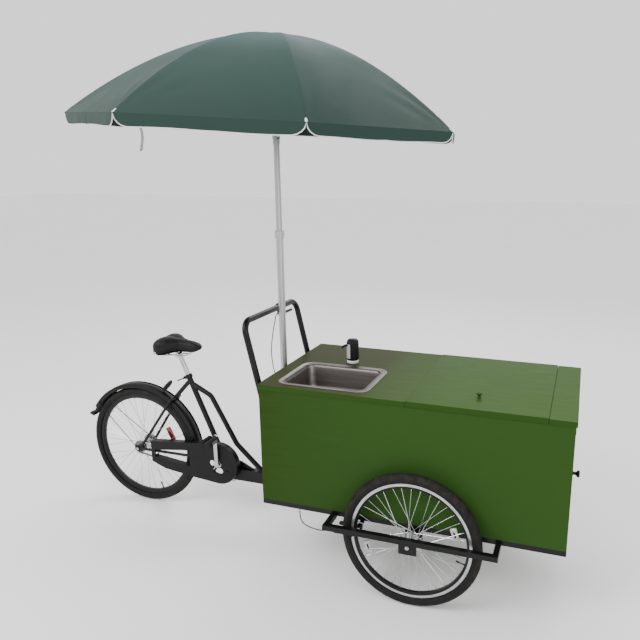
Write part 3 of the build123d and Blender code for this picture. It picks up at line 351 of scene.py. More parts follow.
class Mesh:
    """Vertices and faces gathered for one piece, each face with a material number."""

    def __init__(self):
        self.verts = []
        self.faces = []
        self.marks = []

    def loops(self, rings, closed=True, caps=(False, False), mark=0):
        """Skins a list of rings, each a list of points."""
        start = len(self.verts)
        count = len(rings[0])
        for ring in rings:
            self.verts.extend(ring)
        for i in range(len(rings) - 1):
            for j in range(count if closed else count - 1):
                k = (j + 1) % count
                a = start + i * count
                b = a + count
                self.faces.append((a + j, a + k, b + k, b + j))
                self.marks.append(mark(i, j) if callable(mark) else mark)
        for wanted, i in zip(caps, (0, len(rings) - 1)):
            if wanted:
                self.faces.append(tuple(start + i * count + j for j in range(count)))
                self.marks.append(mark if not callable(mark) else mark(i, 0))

    def lathe(self, origin, axis, profile, steps=64, closed=False, mark=0, start=None, sweep=None):
        """Turns a profile of (along axis, radius) about the axis."""
        origin = Vector(origin)
        x, y, z = axes_of(axis)
        if start is not None:
            x = (Vector(start) - z * Vector(start).dot(z)).normalized()
            y = z.cross(x)
        turns = []
        span = 2 * math.pi if sweep is None else sweep
        for i in range(steps if sweep is None else steps + 1):
            angle = span * i / steps - (0 if sweep is None else span / 2)
            out = x * math.cos(angle) + y * math.sin(angle)
            turns.append([origin + z * a + out * r for a, r in profile])
        rings = [[turn[i] for turn in turns] for i in range(len(profile))]
        if closed:
            rings.append(rings[0])
        fixed = (lambda i, j: mark(i)) if callable(mark) else mark
        ends = sweep is None and not closed
        self.loops(rings, sweep is None, (ends, ends), fixed)

    def tube(self, points, radius, sides=10, mark=0, caps=True):
        """A tube along points, its radius one number or one for each point."""
        points = [Vector(p) for p in points]
        radii = radius if isinstance(radius, (list, tuple)) else [radius] * len(points)
        ahead = (points[1] - points[0]).normalized()
        side = ahead.orthogonal().normalized()
        rings = []
        for i, point in enumerate(points):
            before = points[max(i - 1, 0)]
            after = points[min(i + 1, len(points) - 1)]
            ahead = (after - before).normalized()
            side = (side - ahead * side.dot(ahead)).normalized()
            up = ahead.cross(side)
            rings.append(
                [
                    point
                    + (side * math.cos(2 * math.pi * j / sides) + up * math.sin(2 * math.pi * j / sides))
                    * radii[i]
                    for j in range(sides)
                ]
            )
        self.loops(rings, True, (caps, caps), mark)

    def block(self, center, size, bevel=0.002, turn=None, mark=0):
        """A box with chamfered edges and a softened outline."""
        work = bmesh.new()
        bmesh.ops.create_cube(work, size=1)
        bmesh.ops.scale(work, vec=size, verts=work.verts)
        if bevel:
            bmesh.ops.bevel(
                work, geom=work.edges[:], offset=bevel, segments=3, profile=0.6, affect="EDGES"
            )
        matrix = Matrix.Translation(Vector(center)) @ (turn.to_4x4() if turn else Matrix())
        bmesh.ops.transform(work, matrix=matrix, verts=work.verts)
        start = len(self.verts)
        work.verts.index_update()
        self.verts.extend(v.co.copy() for v in work.verts)
        for face in work.faces:
            self.faces.append(tuple(start + v.index for v in face.verts))
            self.marks.append(mark)
        work.free()

    def make(self, name, mats, body, slot, **more):
        return piece(name, self.verts, self.faces, mats, body, slot, self.marks, **more)


def dress(node, material, bevel=0.0, segments=2):
    """A CAD node keeps its shape and gets its finish, with eased edges."""
    obj = NODES[node]
    obj.data.materials.clear()
    obj.data.materials.append(material)
    if bevel:
        ease = obj.modifiers.new("eased", "BEVEL")
        ease.width = bevel
        ease.segments = segments
        ease.limit_method = "ANGLE"
        ease.angle_limit = math.radians(50)
        ease.harden_normals = True


# ------------------------------------------------------------------ wheels


def make_tyre(node, body, hub):
    """A tyre with blocks and ribs cut in its tread, hollow inside."""
    low, high = corners(node)
    outer = (high.z - low.z) / 2
    half = (high.y - low.y) / 2
    mid = outer - half
    steps = 288
    arc = 30
    rings = []
    seat = mid - 0.0186
    start = math.atan2(seat - mid, math.sqrt(max(half**2 - (seat - mid) ** 2, 0)))
    for j in range(arc + 1):
        angle = start + (math.pi - 2 * start) * j / arc
        tread = math.exp(-(((angle - math.pi / 2) / 0.85) ** 6))
        ring = []
        for i in range(steps):
            around = 2 * math.pi * i / steps
            row = round((angle - math.pi / 2) / 0.24)
            phase = 0.5 if row % 2 else 0.0
            block = math.sin((i / 4 + phase) * 2 * math.pi)
            rib = math.cos((angle - math.pi / 2) / 0.24 * 2 * math.pi)
            cut = 0.0011 * tread * (1 if block < -0.4 or rib < -0.75 else 0)
            cut += 0.0005 * (1 - tread)
            r = mid + (half - cut) * math.sin(angle)
            y = (half - cut) * math.cos(angle)
            ring.append(hub + Vector((r * math.cos(around), y, r * math.sin(around))))
        rings.append(ring)
    inner = half - 0.004
    for j in range(arc // 2 + 1):
        angle = math.pi - start - (math.pi - 2 * start) * j / (arc // 2)
        rings.append(
            [
                hub
                + Vector(
                    (
                        (mid + inner * math.sin(angle)) * math.cos(2 * math.pi * i / steps),
                        inner * math.cos(angle),
                        (mid + inner * math.sin(angle)) * math.sin(2 * math.pi * i / steps),
                    )
                )
                for i in range(steps)
            ]
        )
    rings.append(rings[0])
    mesh = Mesh()
    mesh.loops(rings, mark=lambda i, j: 1 if arc * 0.2 < i < arc * 0.8 else 0)
    obj = mesh.make(node + "_casing", [RUBBER, TREAD], body, "tyre", hard=60)
    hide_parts(node)


def make_wheel(node, body, hub, hub_half, flange_y, spokes=36):
    """A rim, a hub and crossed spokes with their nipples."""
    low, high = corners(node)
    lip = (high.z - low.z) / 2
    mesh = Mesh()
    w = 0.0124
    profile = [
        (-w, lip),
        (-w, lip - 0.0135),
        (-0.0112, lip - 0.0180),
        (-0.0072, lip - 0.0256),
        (0.0072, lip - 0.0256),
        (0.0112, lip - 0.0180),
        (w, lip - 0.0135),
        (w, lip),
        (0.0104, lip),
        (0.0104, lip - 0.0125),
        (-0.0104, lip - 0.0125),
        (-0.0104, lip),
    ]
    dark = {1, 2, 3, 4, 5}
    if node == "rear_wheel":
        dark |= {0, 6}
    mesh.lathe(hub, (0, 1, 0), profile, 128, closed=True, mark=lambda i: 1 if i in dark else 0)
    rim = mesh.make(node + "_rim", [ALLOY, BLACK], body, "alloy", hard=40)
    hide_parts(node)
    mesh = Mesh()
    flange = 0.029
    body_profile = [
        (-hub_half, 0.00505),
        (-hub_half, 0.0105),
        (-hub_half + 0.006, 0.0125),
        (-flange_y - 0.003, 0.016),
        (-flange_y - 0.0018, flange - 0.001),
        (-flange_y + 0.0018, flange - 0.001),
        (-flange_y + 0.003, 0.016),
        (-flange_y * 0.55, 0.0118),
        (flange_y * 0.55, 0.0118),
        (flange_y - 0.003, 0.016),
        (flange_y - 0.0018, flange - 0.001),
        (flange_y + 0.0018, flange - 0.001),
        (flange_y + 0.003, 0.016),
        (hub_half - 0.006, 0.0125),
        (hub_half, 0.0105),
        (hub_half, 0.00505),
    ]
    mesh.lathe(hub, (0, 1, 0), body_profile, 48, closed=True)
    mesh.make(node + "_hub", [ALLOY], body, "alloy")
    mesh = Mesh()
    inner = lip - 0.0256
    for i in range(spokes):
        out = 2 * math.pi * i / spokes
        sign = 1 if i % 2 else -1
        twist = math.radians(58) * (1 if i % 4 < 2 else -1)
        spread_y = sign * (flange_y + (0.0022 if i % 4 in (0, 3) else -0.0022))
        a = hub + Vector(
            (
                (flange - 0.004) * math.cos(out + twist),
                spread_y,
                (flange - 0.004) * math.sin(out + twist),
            )
        )
        b = hub + Vector((inner * math.cos(out), sign * 0.003, inner * math.sin(out)))
        mesh.tube([a, b], 0.0013, 6)
        run = (b - a).normalized()
        mesh.tube([b - run * 0.014, b - run * 0.002, b], [0.0019, 0.0021, 0.0019], 8)
    mesh.make(node + "_spokes", [BRIGHT], body, "bright_steel")


#         where, half the hub's width, flange's distance from the middle
WHEELS = (("rear", 0.040, 0.026), ("right_front", 0.041, 0.030), ("left_front", 0.041, 0.030))
for where, hub_half, flange_y in WHEELS:
    body = f"{where}_wheel"
    hub = at(f"{body}_spin")
    make_tyre(f"{where}_tyre", body, hub)
    make_wheel(body, body, hub, hub_half, flange_y)


def valve(name, body, hub, angle, lip):
    """A tyre valve with its cap, standing inward from the rim."""
    out = Vector((math.cos(angle), 0, math.sin(angle)))
    mesh = Mesh()
    mesh.lathe(
        hub + out * (lip - 0.026),
        -out,
        [(-0.004, 0.001), (-0.004, 0.004), (0.004, 0.004), (0.006, 0.003), (0.026, 0.003),
         (0.027, 0.004), (0.040, 0.0038), (0.042, 0.001)],
        16,
    )
    mesh.make(name, [PLASTIC], body, "black_plastic")


def reflector(name, body, hub, angle, radius, color, length=0.06):
    """A lens with rounded ends clipped across two spokes."""
    out = Vector((math.cos(angle), 0, math.sin(angle)))
    around = Vector((-out.z, 0, out.x))
    turn = Matrix((around, Vector((0, 1, 0)), out)).transposed()
    mesh = Mesh()
    mesh.block(hub + out * radius, (length, 0.013, 0.030), 0.004, turn, 0)
    mesh.block(hub + out * radius, (length * 0.5, 0.017, 0.008), 0.003, turn, 1)
    mesh.make(name, [color, PLASTIC], body, "black_plastic")


rear_hub = at("rear_wheel_spin")
right_hub = at("right_front_wheel_spin")
left_hub = at("left_front_wheel_spin")
reflector("rear_wheel_reflector", "rear_wheel", rear_hub, math.radians(26), 0.208, RED, 0.085)
reflector("right_wheel_reflector", "right_front_wheel", right_hub, math.radians(199), 0.216, LENS)
reflector("right_wheel_reflector_far", "right_front_wheel", right_hub, math.radians(19), 0.216, LENS)
reflector("left_wheel_reflector", "left_front_wheel", left_hub, math.radians(120), 0.216, AMBER)
reflector("left_wheel_reflector_far", "left_front_wheel", left_hub, math.radians(300), 0.216, LENS)
valve("right_valve", "right_front_wheel", right_hub, math.radians(-16), 0.288)
valve("left_valve", "left_front_wheel", left_hub, math.radians(40), 0.288)
valve("rear_valve", "rear_wheel", rear_hub, math.radians(-70), 0.3195)

# sprocket on the hub and the roller brake beside it
mesh = Mesh()
teeth = 18
rings = []
for y in (-0.0468, -0.0492):
    ring = []
    for i in range(teeth * 6):
        angle = 2 * math.pi * i / (teeth * 6)
        r = 0.0335 + 0.0022 * math.cos(angle * teeth)
        ring.append(rear_hub + Vector((r * math.cos(angle), y, r * math.sin(angle))))
    rings.append(ring)
mesh.loops(rings, True, (True, True))
mesh.lathe(rear_hub, (0, 1, 0), [(-0.0495, 0.0052), (-0.0495, 0.021), (-0.0396, 0.024), (-0.0396, 0.0052)],
           40, closed=True)
mesh.make("rear_sprocket", [GREY], "rear_wheel", "bright_steel")
mesh = Mesh()
mesh.lathe(
    rear_hub,
    (0, 1, 0),
    [(0.0415, 0.0055), (0.0415, 0.043), (0.044, 0.0455), (0.053, 0.0455), (0.056, 0.040), (0.057, 0.030),
     (0.0595, 0.026), (0.0595, 0.0055)],
    72,
    closed=True,
)
mesh.block(rear_hub + Vector((0.055, 0.0545, -0.012)), (0.11, 0.005, 0.018), 0.002,
           Matrix.Rotation(math.radians(8), 3, "Y"))
mesh.make("roller_brake", [GREY], "rear_frame", "alloy")

# ------------------------------------------------------------------ frame, drive and small parts

for node in ("rear_frame", "front_chassis", "push_handle"):
    dress(node, BLACK, 0.0012)
dress("rear_mudguard", GUARD)
dress("chain_case", GUARD, 0.0008)
dress("chain", GREY)
dress("crankset", ALLOY, 0.002)
dress("seat_clamp", BLACK, 0.001)
dress("seat_quick_release", BLACK)
dress("seat_post", BRIGHT)
dress("rear_axle", BRIGHT, 0.0006)
dress("front_axles", BRIGHT, 0.0006)
dress("brake_lever", PLASTIC, 0.0015)
dress("brake_cables", RUBBER)
for side in ("right", "left"):
    for place in ("inner", "outer"):
        dress(f"{side}_brake_{place}_arm", BLACK, 0.0015)
dress("water_canisters", CLEAR, 0.006)
dress("box_floor", SIDE_GREEN)
dress("side_panels", SIDE_GREEN, 0.0012)
dress("end_panels", SIDE_GREEN, 0.0012)
dress("worktop", LIT_TOP_GREEN, 0.0015)
dress("parasol_lower_pole", POLE)
dress("parasol_upper_pole", POLE)
dress("parasol_head_pole", POLE)
dress("parasol_crown", PLASTIC)
dress("parasol_runner", PLASTIC)
for i in range(8):
    dress(f"parasol_rib_{i + 1}", BRIGHT)
    dress(f"parasol_stretcher_{i + 1}", BRIGHT)

# pedals
for name, joint in (("right_pedal", "right_pedal_spin"), ("left_pedal", "left_pedal_spin")):
    center = middle(name)
    sign = 1 if center.y > 0 else -1
    mesh = Mesh()
    for dx in (-0.022, 0.022):
        mesh.block(center + Vector((dx, 0, 0)), (0.022, 0.094, 0.024), 0.005, mark=0)
        for k in range(7):
            y = -0.036 + k * 0.012
            mesh.block(center + Vector((dx, y, 0)), (0.0235, 0.004, 0.0256), 0.001, mark=0)
    for y in (-0.041, 0.041):
        mesh.block(center + Vector((0, y, 0)), (0.066, 0.007, 0.014), 0.002, mark=1)
    sleeve = [(-0.046, 0.0046), (-0.046, 0.009), (0.046, 0.009), (0.046, 0.0046)]
    mesh.lathe(center, (0, 1, 0), sleeve, 24, closed=True, mark=1)
    for dx in (-0.0333, 0.0333):
        mesh.block(center + Vector((dx, 0, 0)), (0.0012, 0.05, 0.014), 0.0005, mark=2)
    obj = mesh.make(name + "_block", [RUBBER, PLASTIC, GREY], name, "black_plastic")
    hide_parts(name)

# rear lamp: a leaf-shaped hood with its lens behind
low, high = corners("rear_lamp")
center = (low + high) / 2
leaf = Vector((61, 0, 68)).normalized()
back = Vector((-leaf.z, 0, leaf.x))
mesh = Mesh()
for offset, thick, mark, grow in ((0.0, 0.015, 0, 1.0), (0.0085, 0.004, 1, 0.62)):
    rings = []
    for k in range(9):
        depth = -1 + 2 * k / 8
        width = math.sqrt(max(1 - abs(depth) ** 2.4, 0.0)) * 0.35 + 0.65
        ring = []
        for i in range(40):
            angle = 2 * math.pi * i / 40
            taper = 1 - 0.28 * math.sin(angle)
            ring.append(
                center
                + back * (offset + depth * thick * 0.7)
                + leaf * (0.044 * grow * width * math.sin(angle))
                + Vector((0, 0.0225 * grow * width * taper * math.cos(angle), 0))
            )
        rings.append(ring)
    mesh.loops(rings, True, (True, True), mark)
obj = mesh.make("rear_lamp_hood", [PLASTIC, RED], "rear_frame", "black_plastic")
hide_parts("rear_lamp")

# deep sides of the mudguard, down past the tyre's tread
mesh = Mesh()
for sign in (-1, 1):
    arcs = []
    for radius, y in ((0.3885, 0.0296), (0.372, 0.0300), (0.3645, 0.0298), (0.3645, 0.0288), (0.372, 0.0289),
                      (0.3885, 0.0285)):
        ring = []
        for k in range(97):
            angle = math.radians(6.5 + 140 * k / 96)
            ring.append(rear_hub + Vector((radius * math.cos(angle), sign * y, radius * math.sin(angle))))
        arcs.append(ring)
    arcs.append(arcs[0])
    mesh.loops(arcs, False)
    for k in (0, 96):
        first = len(mesh.verts)
        mesh.verts.extend(arc[k] for arc in arcs[:-1])
        mesh.faces.append(tuple(range(first, first + 6)))
        mesh.marks.append(0)
mesh.make("mudguard_sides", [GUARD], "rear_frame", "guard_black")

# pale edge of the mudguard's flap
turn = math.radians(157)
out = Vector((math.cos(turn), 0, math.sin(turn)))
along = Vector((math.sin(turn), 0, -math.cos(turn)))
mesh = Mesh()
mesh.block(
    rear_hub + out * 0.409 - along * 0.001,
    (0.044, 0.0074, 0.007),
    0.002,
    Matrix((Vector((0, 1, 0)), along, out)).transposed(),
)
mesh.make("flap_edge", [WHITE], "rear_frame", "guard_black")

# ------------------------------------------------------------------ box: lid, door, sink, tap


def slab(mesh, low, high, bevel=0.0018):
    """A board between two corners."""
    low, high = Vector(low), Vector(high)
    mesh.block((low + high) / 2, tuple(high - low), bevel)


def knuckles(mesh, center, along, mark=0):
    """The two outer barrels of a hinge."""
    for side in (-1, 1):
        inner = 0.0123 * side
        outer = 0.036 * side
        a, b = sorted((inner, outer))
        mesh.lathe(center, along, [(a, 0.0006), (a, 0.0030), (a + 0.0006, 0.0035), (b - 0.0006, 0.0035),
                                   (b, 0.0030), (b, 0.0006)], 20, mark=mark)


hinge = at("lid_hinge")
low, high = corners("lid")
mesh = Mesh()
slab(mesh, (low.x, -hinge.y, hinge.z), (high.x, hinge.y, LID_Z))
for x in (low.x + 0.110, high.x - 0.110):
    knuckles(mesh, Vector((x, hinge.y, hinge.z)), (1, 0, 0), 1)
lid = mesh.make("lid_board", [LIT_LID_GREEN, SIDE_GREEN], "lid", "top_green")
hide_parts("lid")
knob = Vector((low.x + 0.307, -0.243, LID_Z))
mesh = Mesh()
mesh.lathe(knob, (0, 0, 1),
           [(-0.001, 0.002), (-0.001, 0.0095), (0.002, 0.0095), (0.006, 0.0062), (0.014, 0.0066),
            (0.018, 0.0115), (0.022, 0.013), (0.025, 0.0124), (0.0268, 0.008), (0.0268, 0.001)], 40)
mesh.make("lid_knob", [SIDE_GREEN], "lid", "top_green")
door_hinge = at("front_door_hinge")
low, high = corners("front_door")
half = 0.268
mesh = Mesh()
slab(mesh, (low.x, -half, low.z), (door_hinge.x, half, door_hinge.z))
for y in (-0.160, 0.160):
    knuckles(mesh, Vector((door_hinge.x, y, door_hinge.z)), (0, 1, 0), 1)
door = mesh.make("front_door_board", [SIDE_GREEN, SIDE_GREEN], "front_door", "box_green")
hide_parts("front_door")
mesh = Mesh()
mesh.lathe(Vector((door_hinge.x, 0, 0.565)), (1, 0, 0),
           [(-0.001, 0.002), (-0.001, 0.011), (0.003, 0.011), (0.008, 0.0075), (0.018, 0.008), (0.023, 0.0155),
            (0.028, 0.0178), (0.032, 0.0172), (0.0355, 0.012), (0.0358, 0.001)], 40)
mesh.make("front_door_knob", [PLASTIC], "front_door", "box_green")


def rounded_loop(cx, cy, z, w, d, r, per=10):
    """Points round a rectangle with rounded corners."""
    ring = []
    for k, (sx, sy) in enumerate(((1, 1), (-1, 1), (-1, -1), (1, -1))):
        for j in range(per + 1):
            angle = math.pi / 2 * (k + j / per)
            ring.append(
                Vector(
                    (
                        cx + sx * (w / 2 - r) + r * math.cos(angle),
                        cy + sy * (d / 2 - r) + r * math.sin(angle),
                        z,
                    )
                )
            )
    return ring


low, high = corners("sink")
cx, cy = (low.x + high.x) / 2, (low.y + high.y) / 2
w, d = high.x - low.x, high.y - low.y
top = high.z
rim = 0.030
#         inset from the outline, height below the top, corner radius
levels = [
    (0.0, -0.0018, 0.062), (0.0, -0.0004, 0.062), (0.002, 0.0, 0.061), (0.006, 0.0, 0.058),
    (0.008, -0.0012, 0.056), (rim - 0.010, -0.0014, 0.044), (rim - 0.004, -0.003, 0.040),
    (rim, -0.008, 0.038), (rim + 0.003, -0.020, 0.037),
    (rim + 0.006, -0.110, 0.040), (rim + 0.012, -0.135, 0.044), (rim + 0.026, -0.146, 0.050),
    (rim + 0.050, -0.1498, 0.050),
]
mesh = Mesh()
rings = [rounded_loop(cx, cy, top + dz, w - 2 * inset, d - 2 * inset, r) for inset, dz, r in levels]
drain = [math.atan2(point.y - cy, point.x - cx) for point in rings[-1]]
for radius, dz in ((0.075, -0.1504), (0.045, -0.151), (0.042, -0.1535), (0.024, -0.1545), (0.0205, -0.156),
                   (0.0205, -0.196), (0.029, -0.196), (0.029, -0.158)):
    rings.append([Vector((cx + radius * math.cos(a), cy + radius * math.sin(a), top + dz + 0.0015))
                  for a in drain])
under = [(rim + 0.052, -0.1512, 0.050), (rim + 0.024, -0.1486, 0.050), (rim + 0.010, -0.137, 0.045),
         (rim + 0.0045, -0.110, 0.041), (rim + 0.0015, -0.020, 0.038), (rim - 0.001, -0.0024, 0.040),
         (0.004, -0.0018, 0.058), (0.0, -0.0018, 0.062)]
rings += [rounded_loop(cx, cy, top + dz, w - 2 * inset, d - 2 * inset, r) for inset, dz, r in under]
mesh.loops(rings)
obj = mesh.make("sink_basin", [DARK_REFLECTION_STEEL], "cargo_box", "stainless", hard=50)
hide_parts("sink")
mesh = Mesh()
mesh.lathe(Vector((cx, cy, top - 0.1515)), (0, 0, 1),
           [(0, 0.026), (0.0018, 0.041), (0.003, 0.040), (0.0022, 0.026)], 48, closed=True)
for k in range(4):
    angle = math.pi / 4 * k
    arm = Vector((math.cos(angle), math.sin(angle), 0)) * 0.026
    mesh.tube([Vector((cx, cy, top - 0.1505)) - arm, Vector((cx, cy, top - 0.1505)) + arm], 0.0014, 8)
mesh.make("sink_strainer", [BRIGHT], "cargo_box", "stainless")

low, high = corners("dispenser")
tap_r = high.x - middle("dispenser_button").x
tap = Vector((high.x - tap_r, middle("dispenser_button").y, low.z))
mesh = Mesh()
mesh.lathe(tap, (0, 0, 1),
           [(0, 0.001), (0, 0.0295), (0.003, 0.031), (0.012, 0.031), (0.0145, 0.029), (0.0145, 0.001)],
           56, mark=1)
mesh.lathe(tap, (0, 0, 1),
           [(0.0145, 0.001), (0.0145, 0.0285), (0.018, 0.0322), (0.023, 0.033), (0.108, 0.033),
            (0.119, 0.0312), (0.1262, 0.0255), (0.1293, 0.0170), (0.1293, 0.0098), (0.1267, 0.0096),
            (0.1267, 0.001)], 64, mark=0)
facing = Vector((-0.55, -1, 0))
mesh.lathe(tap, (0, 0, 1), [(0.026, 0.0322), (0.027, 0.03325), (0.104, 0.03325), (0.105, 0.0322)], 20, mark=2,
           start=facing, sweep=math.radians(50))
spout = Vector((-1, -1, 0)).normalized()
rise = Vector((0, 0, 1))
mesh.tube([tap + spout * 0.026 + rise * 0.098, tap + spout * 0.044 + rise * 0.0978,
           tap + spout * 0.053 + rise * 0.0955, tap + spout * 0.0585 + rise * 0.0905,
           tap + spout * 0.0595 + rise * 0.085],
          [0.0068, 0.0062, 0.006, 0.006, 0.0062], 20, mark=0)
obj = mesh.make("dispenser_body", [PLASTIC, WHITE, SILVER], "cargo_box", "black_plastic")
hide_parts("dispenser")
low, high = corners("dispenser_button")
mesh = Mesh()
mesh.lathe(Vector((tap.x, tap.y, low.z)), (0, 0, 1),
           [(0, 0.001), (0, 0.0088), (0.0028, 0.009), (0.0036, 0.0082), (0.0032, 0.005), (0.0030, 0.001)], 40)
obj = mesh.make("dispenser_key", [BRIGHT], "dispenser_button", "bright_steel")
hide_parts("dispenser_button")

# ------------------------------------------------------------------ saddle

low, high = corners("saddle")
length = high.x - low.x
#         share from the rear, half width, top, underside
stations = (
    (0.000, 0.034, 1.018, 0.996),
    (0.018, 0.074, 1.036, 0.984),
    (0.060, 0.099, 1.048, 0.972),
    (0.130, 0.1065, 1.0555, 0.968),
    (0.220, 0.105, 1.0585, 0.970),
    (0.320, 0.092, 1.056, 0.976),
    (0.430, 0.066, 1.049, 0.982),
    (0.540, 0.043, 1.043, 0.985),
    (0.670, 0.034, 1.039, 0.985),
    (0.800, 0.032, 1.036, 0.986),
    (0.910, 0.029, 1.030, 0.989),
    (0.975, 0.019, 1.021, 0.996),
    (1.000, 0.006, 1.010, 1.003),
)
mesh = Mesh()
rings = []
around = 44
for share, half, top_z, low_z in stations:
    ring = []
    mid_z = (top_z + low_z) / 2
    tall = (top_z - low_z) / 2
    for i in range(around):
        angle = 2 * math.pi * i / around
        c, s = math.cos(angle), math.sin(angle)
        power = 0.62 if s > 0 else 0.40
        y = half * math.copysign(abs(c) ** 0.72, c)
        z = mid_z + tall * math.copysign(abs(s) ** power, s)
        if s > 0 and share < 0.55:
            z -= 0.007 * math.exp(-((y / 0.014) ** 2)) * (1 - share / 0.55) ** 0.5
            z += 0.003 * math.exp(-(((abs(y) - half * 0.55) / 0.03) ** 2))
        ring.append(Vector((low.x + share * length, y, min(z, high.z - 0.0005))))
    rings.append(ring)
mesh.loops(rings, True, (True, True))
saddle = mesh.make("saddle_cover", [LEATHER], "seat", "saddle_black", hard=80)
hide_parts("saddle")


def plump(obj, voxel, pressure, limit):
    """Blows the cover out as cloth and keeps how far it may move within a limit."""
    bpy.context.view_layer.objects.active = obj
    remesh = obj.modifiers.new("remesh", "REMESH")
    remesh.mode = "VOXEL"
    remesh.voxel_size = voxel
    deps = bpy.context.evaluated_depsgraph_get()
    even = bpy.data.meshes.new_from_object(obj.evaluated_get(deps))
    obj.modifiers.remove(remesh)
    even.materials.clear()
    even.materials.append(LEATHER)
    obj.data = even
    rest = [v.co.copy() for v in even.vertices]
    cloth = obj.modifiers.new("cloth", "CLOTH")
    cloth.settings.use_pressure = True
    cloth.settings.uniform_pressure_force = pressure
    cloth.settings.effector_weights.gravity = 0
    cloth.settings.quality = 6
    cloth.settings.mass = 0.3
    scene = bpy.context.scene
    for step in range(1, 15):
        scene.frame_set(step)
    deps = bpy.context.evaluated_depsgraph_get()
    puffed = [v.co.copy() for v in obj.evaluated_get(deps).data.vertices]
    obj.modifiers.remove(cloth)
    for vertex, was, now in zip(even.vertices, rest, puffed):
        move = now - was
        if move.length > limit:
            move = move.normalized() * limit
        vertex.co = was + move
    scene.frame_set(1)
    even.shade_smooth()


plump(saddle, 0.0045, 3.0, 0.004)

# seam round the cover, base plate and springs
mesh = Mesh()
seam = []
for share, half, top_z, low_z in stations[1:-1]:
    seam.append(Vector((low.x + share * length, half + 0.0002, low_z + 0.011)))
seam += [Vector((p.x, -p.y, p.z)) for p in reversed(seam)]
seam.append(seam[0])
mesh.tube(seam, 0.0016, 8, caps=False)
mesh.make("saddle_piping", [PLASTIC], "seat", "saddle_black")
mesh = Mesh()
plate = [
    [
        Vector((low.x + share * length * 0.96 + 0.004, half * 0.82, low_z - drop))
        for share, half, top_z, low_z in stations[1:-1]
    ]
    for drop in (0.001, 0.004)
]
for ring in plate:
    ring.extend(Vector((p.x, -p.y, p.z)) for p in list(reversed(ring)))
mesh.loops(plate, True, (True, True))
for sign in (-1, 1):
    turns = []
    for i in range(97):
        angle = 2 * math.pi * 6 * i / 96
        turns.append(
            Vector(
                (
                    low.x + 0.040 + 0.011 * math.cos(angle),
                    sign * 0.052 + 0.011 * math.sin(angle),
                    0.956 + 0.031 * i / 96,
                )
            )
        )
    mesh.tube(turns, 0.0017, 8, mark=1)
    mesh.tube([Vector((low.x + 0.040, sign * 0.052, 0.9545)), Vector((low.x + 0.060, sign * 0.034, 0.9545)),
               Vector((low.x + 0.090, sign * 0.023, 0.955))], 0.0033, 10, mark=1)
mesh.make("saddle_base", [PLASTIC, BRIGHT], "seat", "black_plastic")

# ------------------------------------------------------------------ parasol

knuckle = at("parasol_tilt")
tilt = -Vector(JOINTS["parasol_tilt"]["axis"]).normalized()
up = -Vector(JOINTS["parasol_runner_slide"]["axis"]).normalized()
lean = Matrix.Rotation(math.acos(max(-1, min(1, up.z))), 3, tilt)
RIM_H, DOME, SPAN_R, POWER = 0.056, 0.410, 0.949, 1.87
HALF_GORE = math.radians(22.5)
PHASE = 33.8  # compass of the first rib, in degrees


def head(angle, radius, height):
    """A point of the open parasol: compass angle, radius and height on its own axis."""
    return knuckle + lean @ Vector((radius * math.cos(angle), radius * math.sin(angle), height))


def dome(radius):
    """Height of the open canopy above the knuckle."""
    return RIM_H + DOME * (1 - (radius / SPAN_R) ** POWER)


def chord(radius, off):
    """Distance from the axis to the straight edge between two ribs."""
    return radius * math.cos(HALF_GORE) / math.cos(HALF_GORE - abs(off))


offsets = []
for k in range(-14, 15):
    share = abs(k) / 14
    offsets.append(math.copysign(HALF_GORE * share**1.6, k))
VALANCE = 0.048
shares = [0.0102, 0.03, 0.06, 0.1, 0.15] + [0.2 + 0.8 * i / 22 for i in range(23)]


def hem_drop(off):
    """How far the hem band hangs: nothing at the ribs, VALANCE between them."""
    along = SPAN_R * math.cos(HALF_GORE) * (math.tan(HALF_GORE) - math.tan(HALF_GORE - abs(off)))
    near = min(along / 0.060, 1.0)
    return VALANCE * math.sqrt(max(1 - (1 - near) ** 2, 0.0))


def pull_folds(radius, off):
    """Folds that fan out from a rib's tip where the cloth is pulled tight."""
    back = SPAN_R - radius
    across_it = radius * abs(off)
    far = math.hypot(back, across_it)
    fan = math.atan2(across_it, max(back, 1e-6))
    fade = math.exp(-(((far - 0.13) / 0.11) ** 2)) * math.sin(min(fan, 1.4) / 1.4 * math.pi) ** 0.5
    return 0.0032 * fade * math.cos(fan * 11)


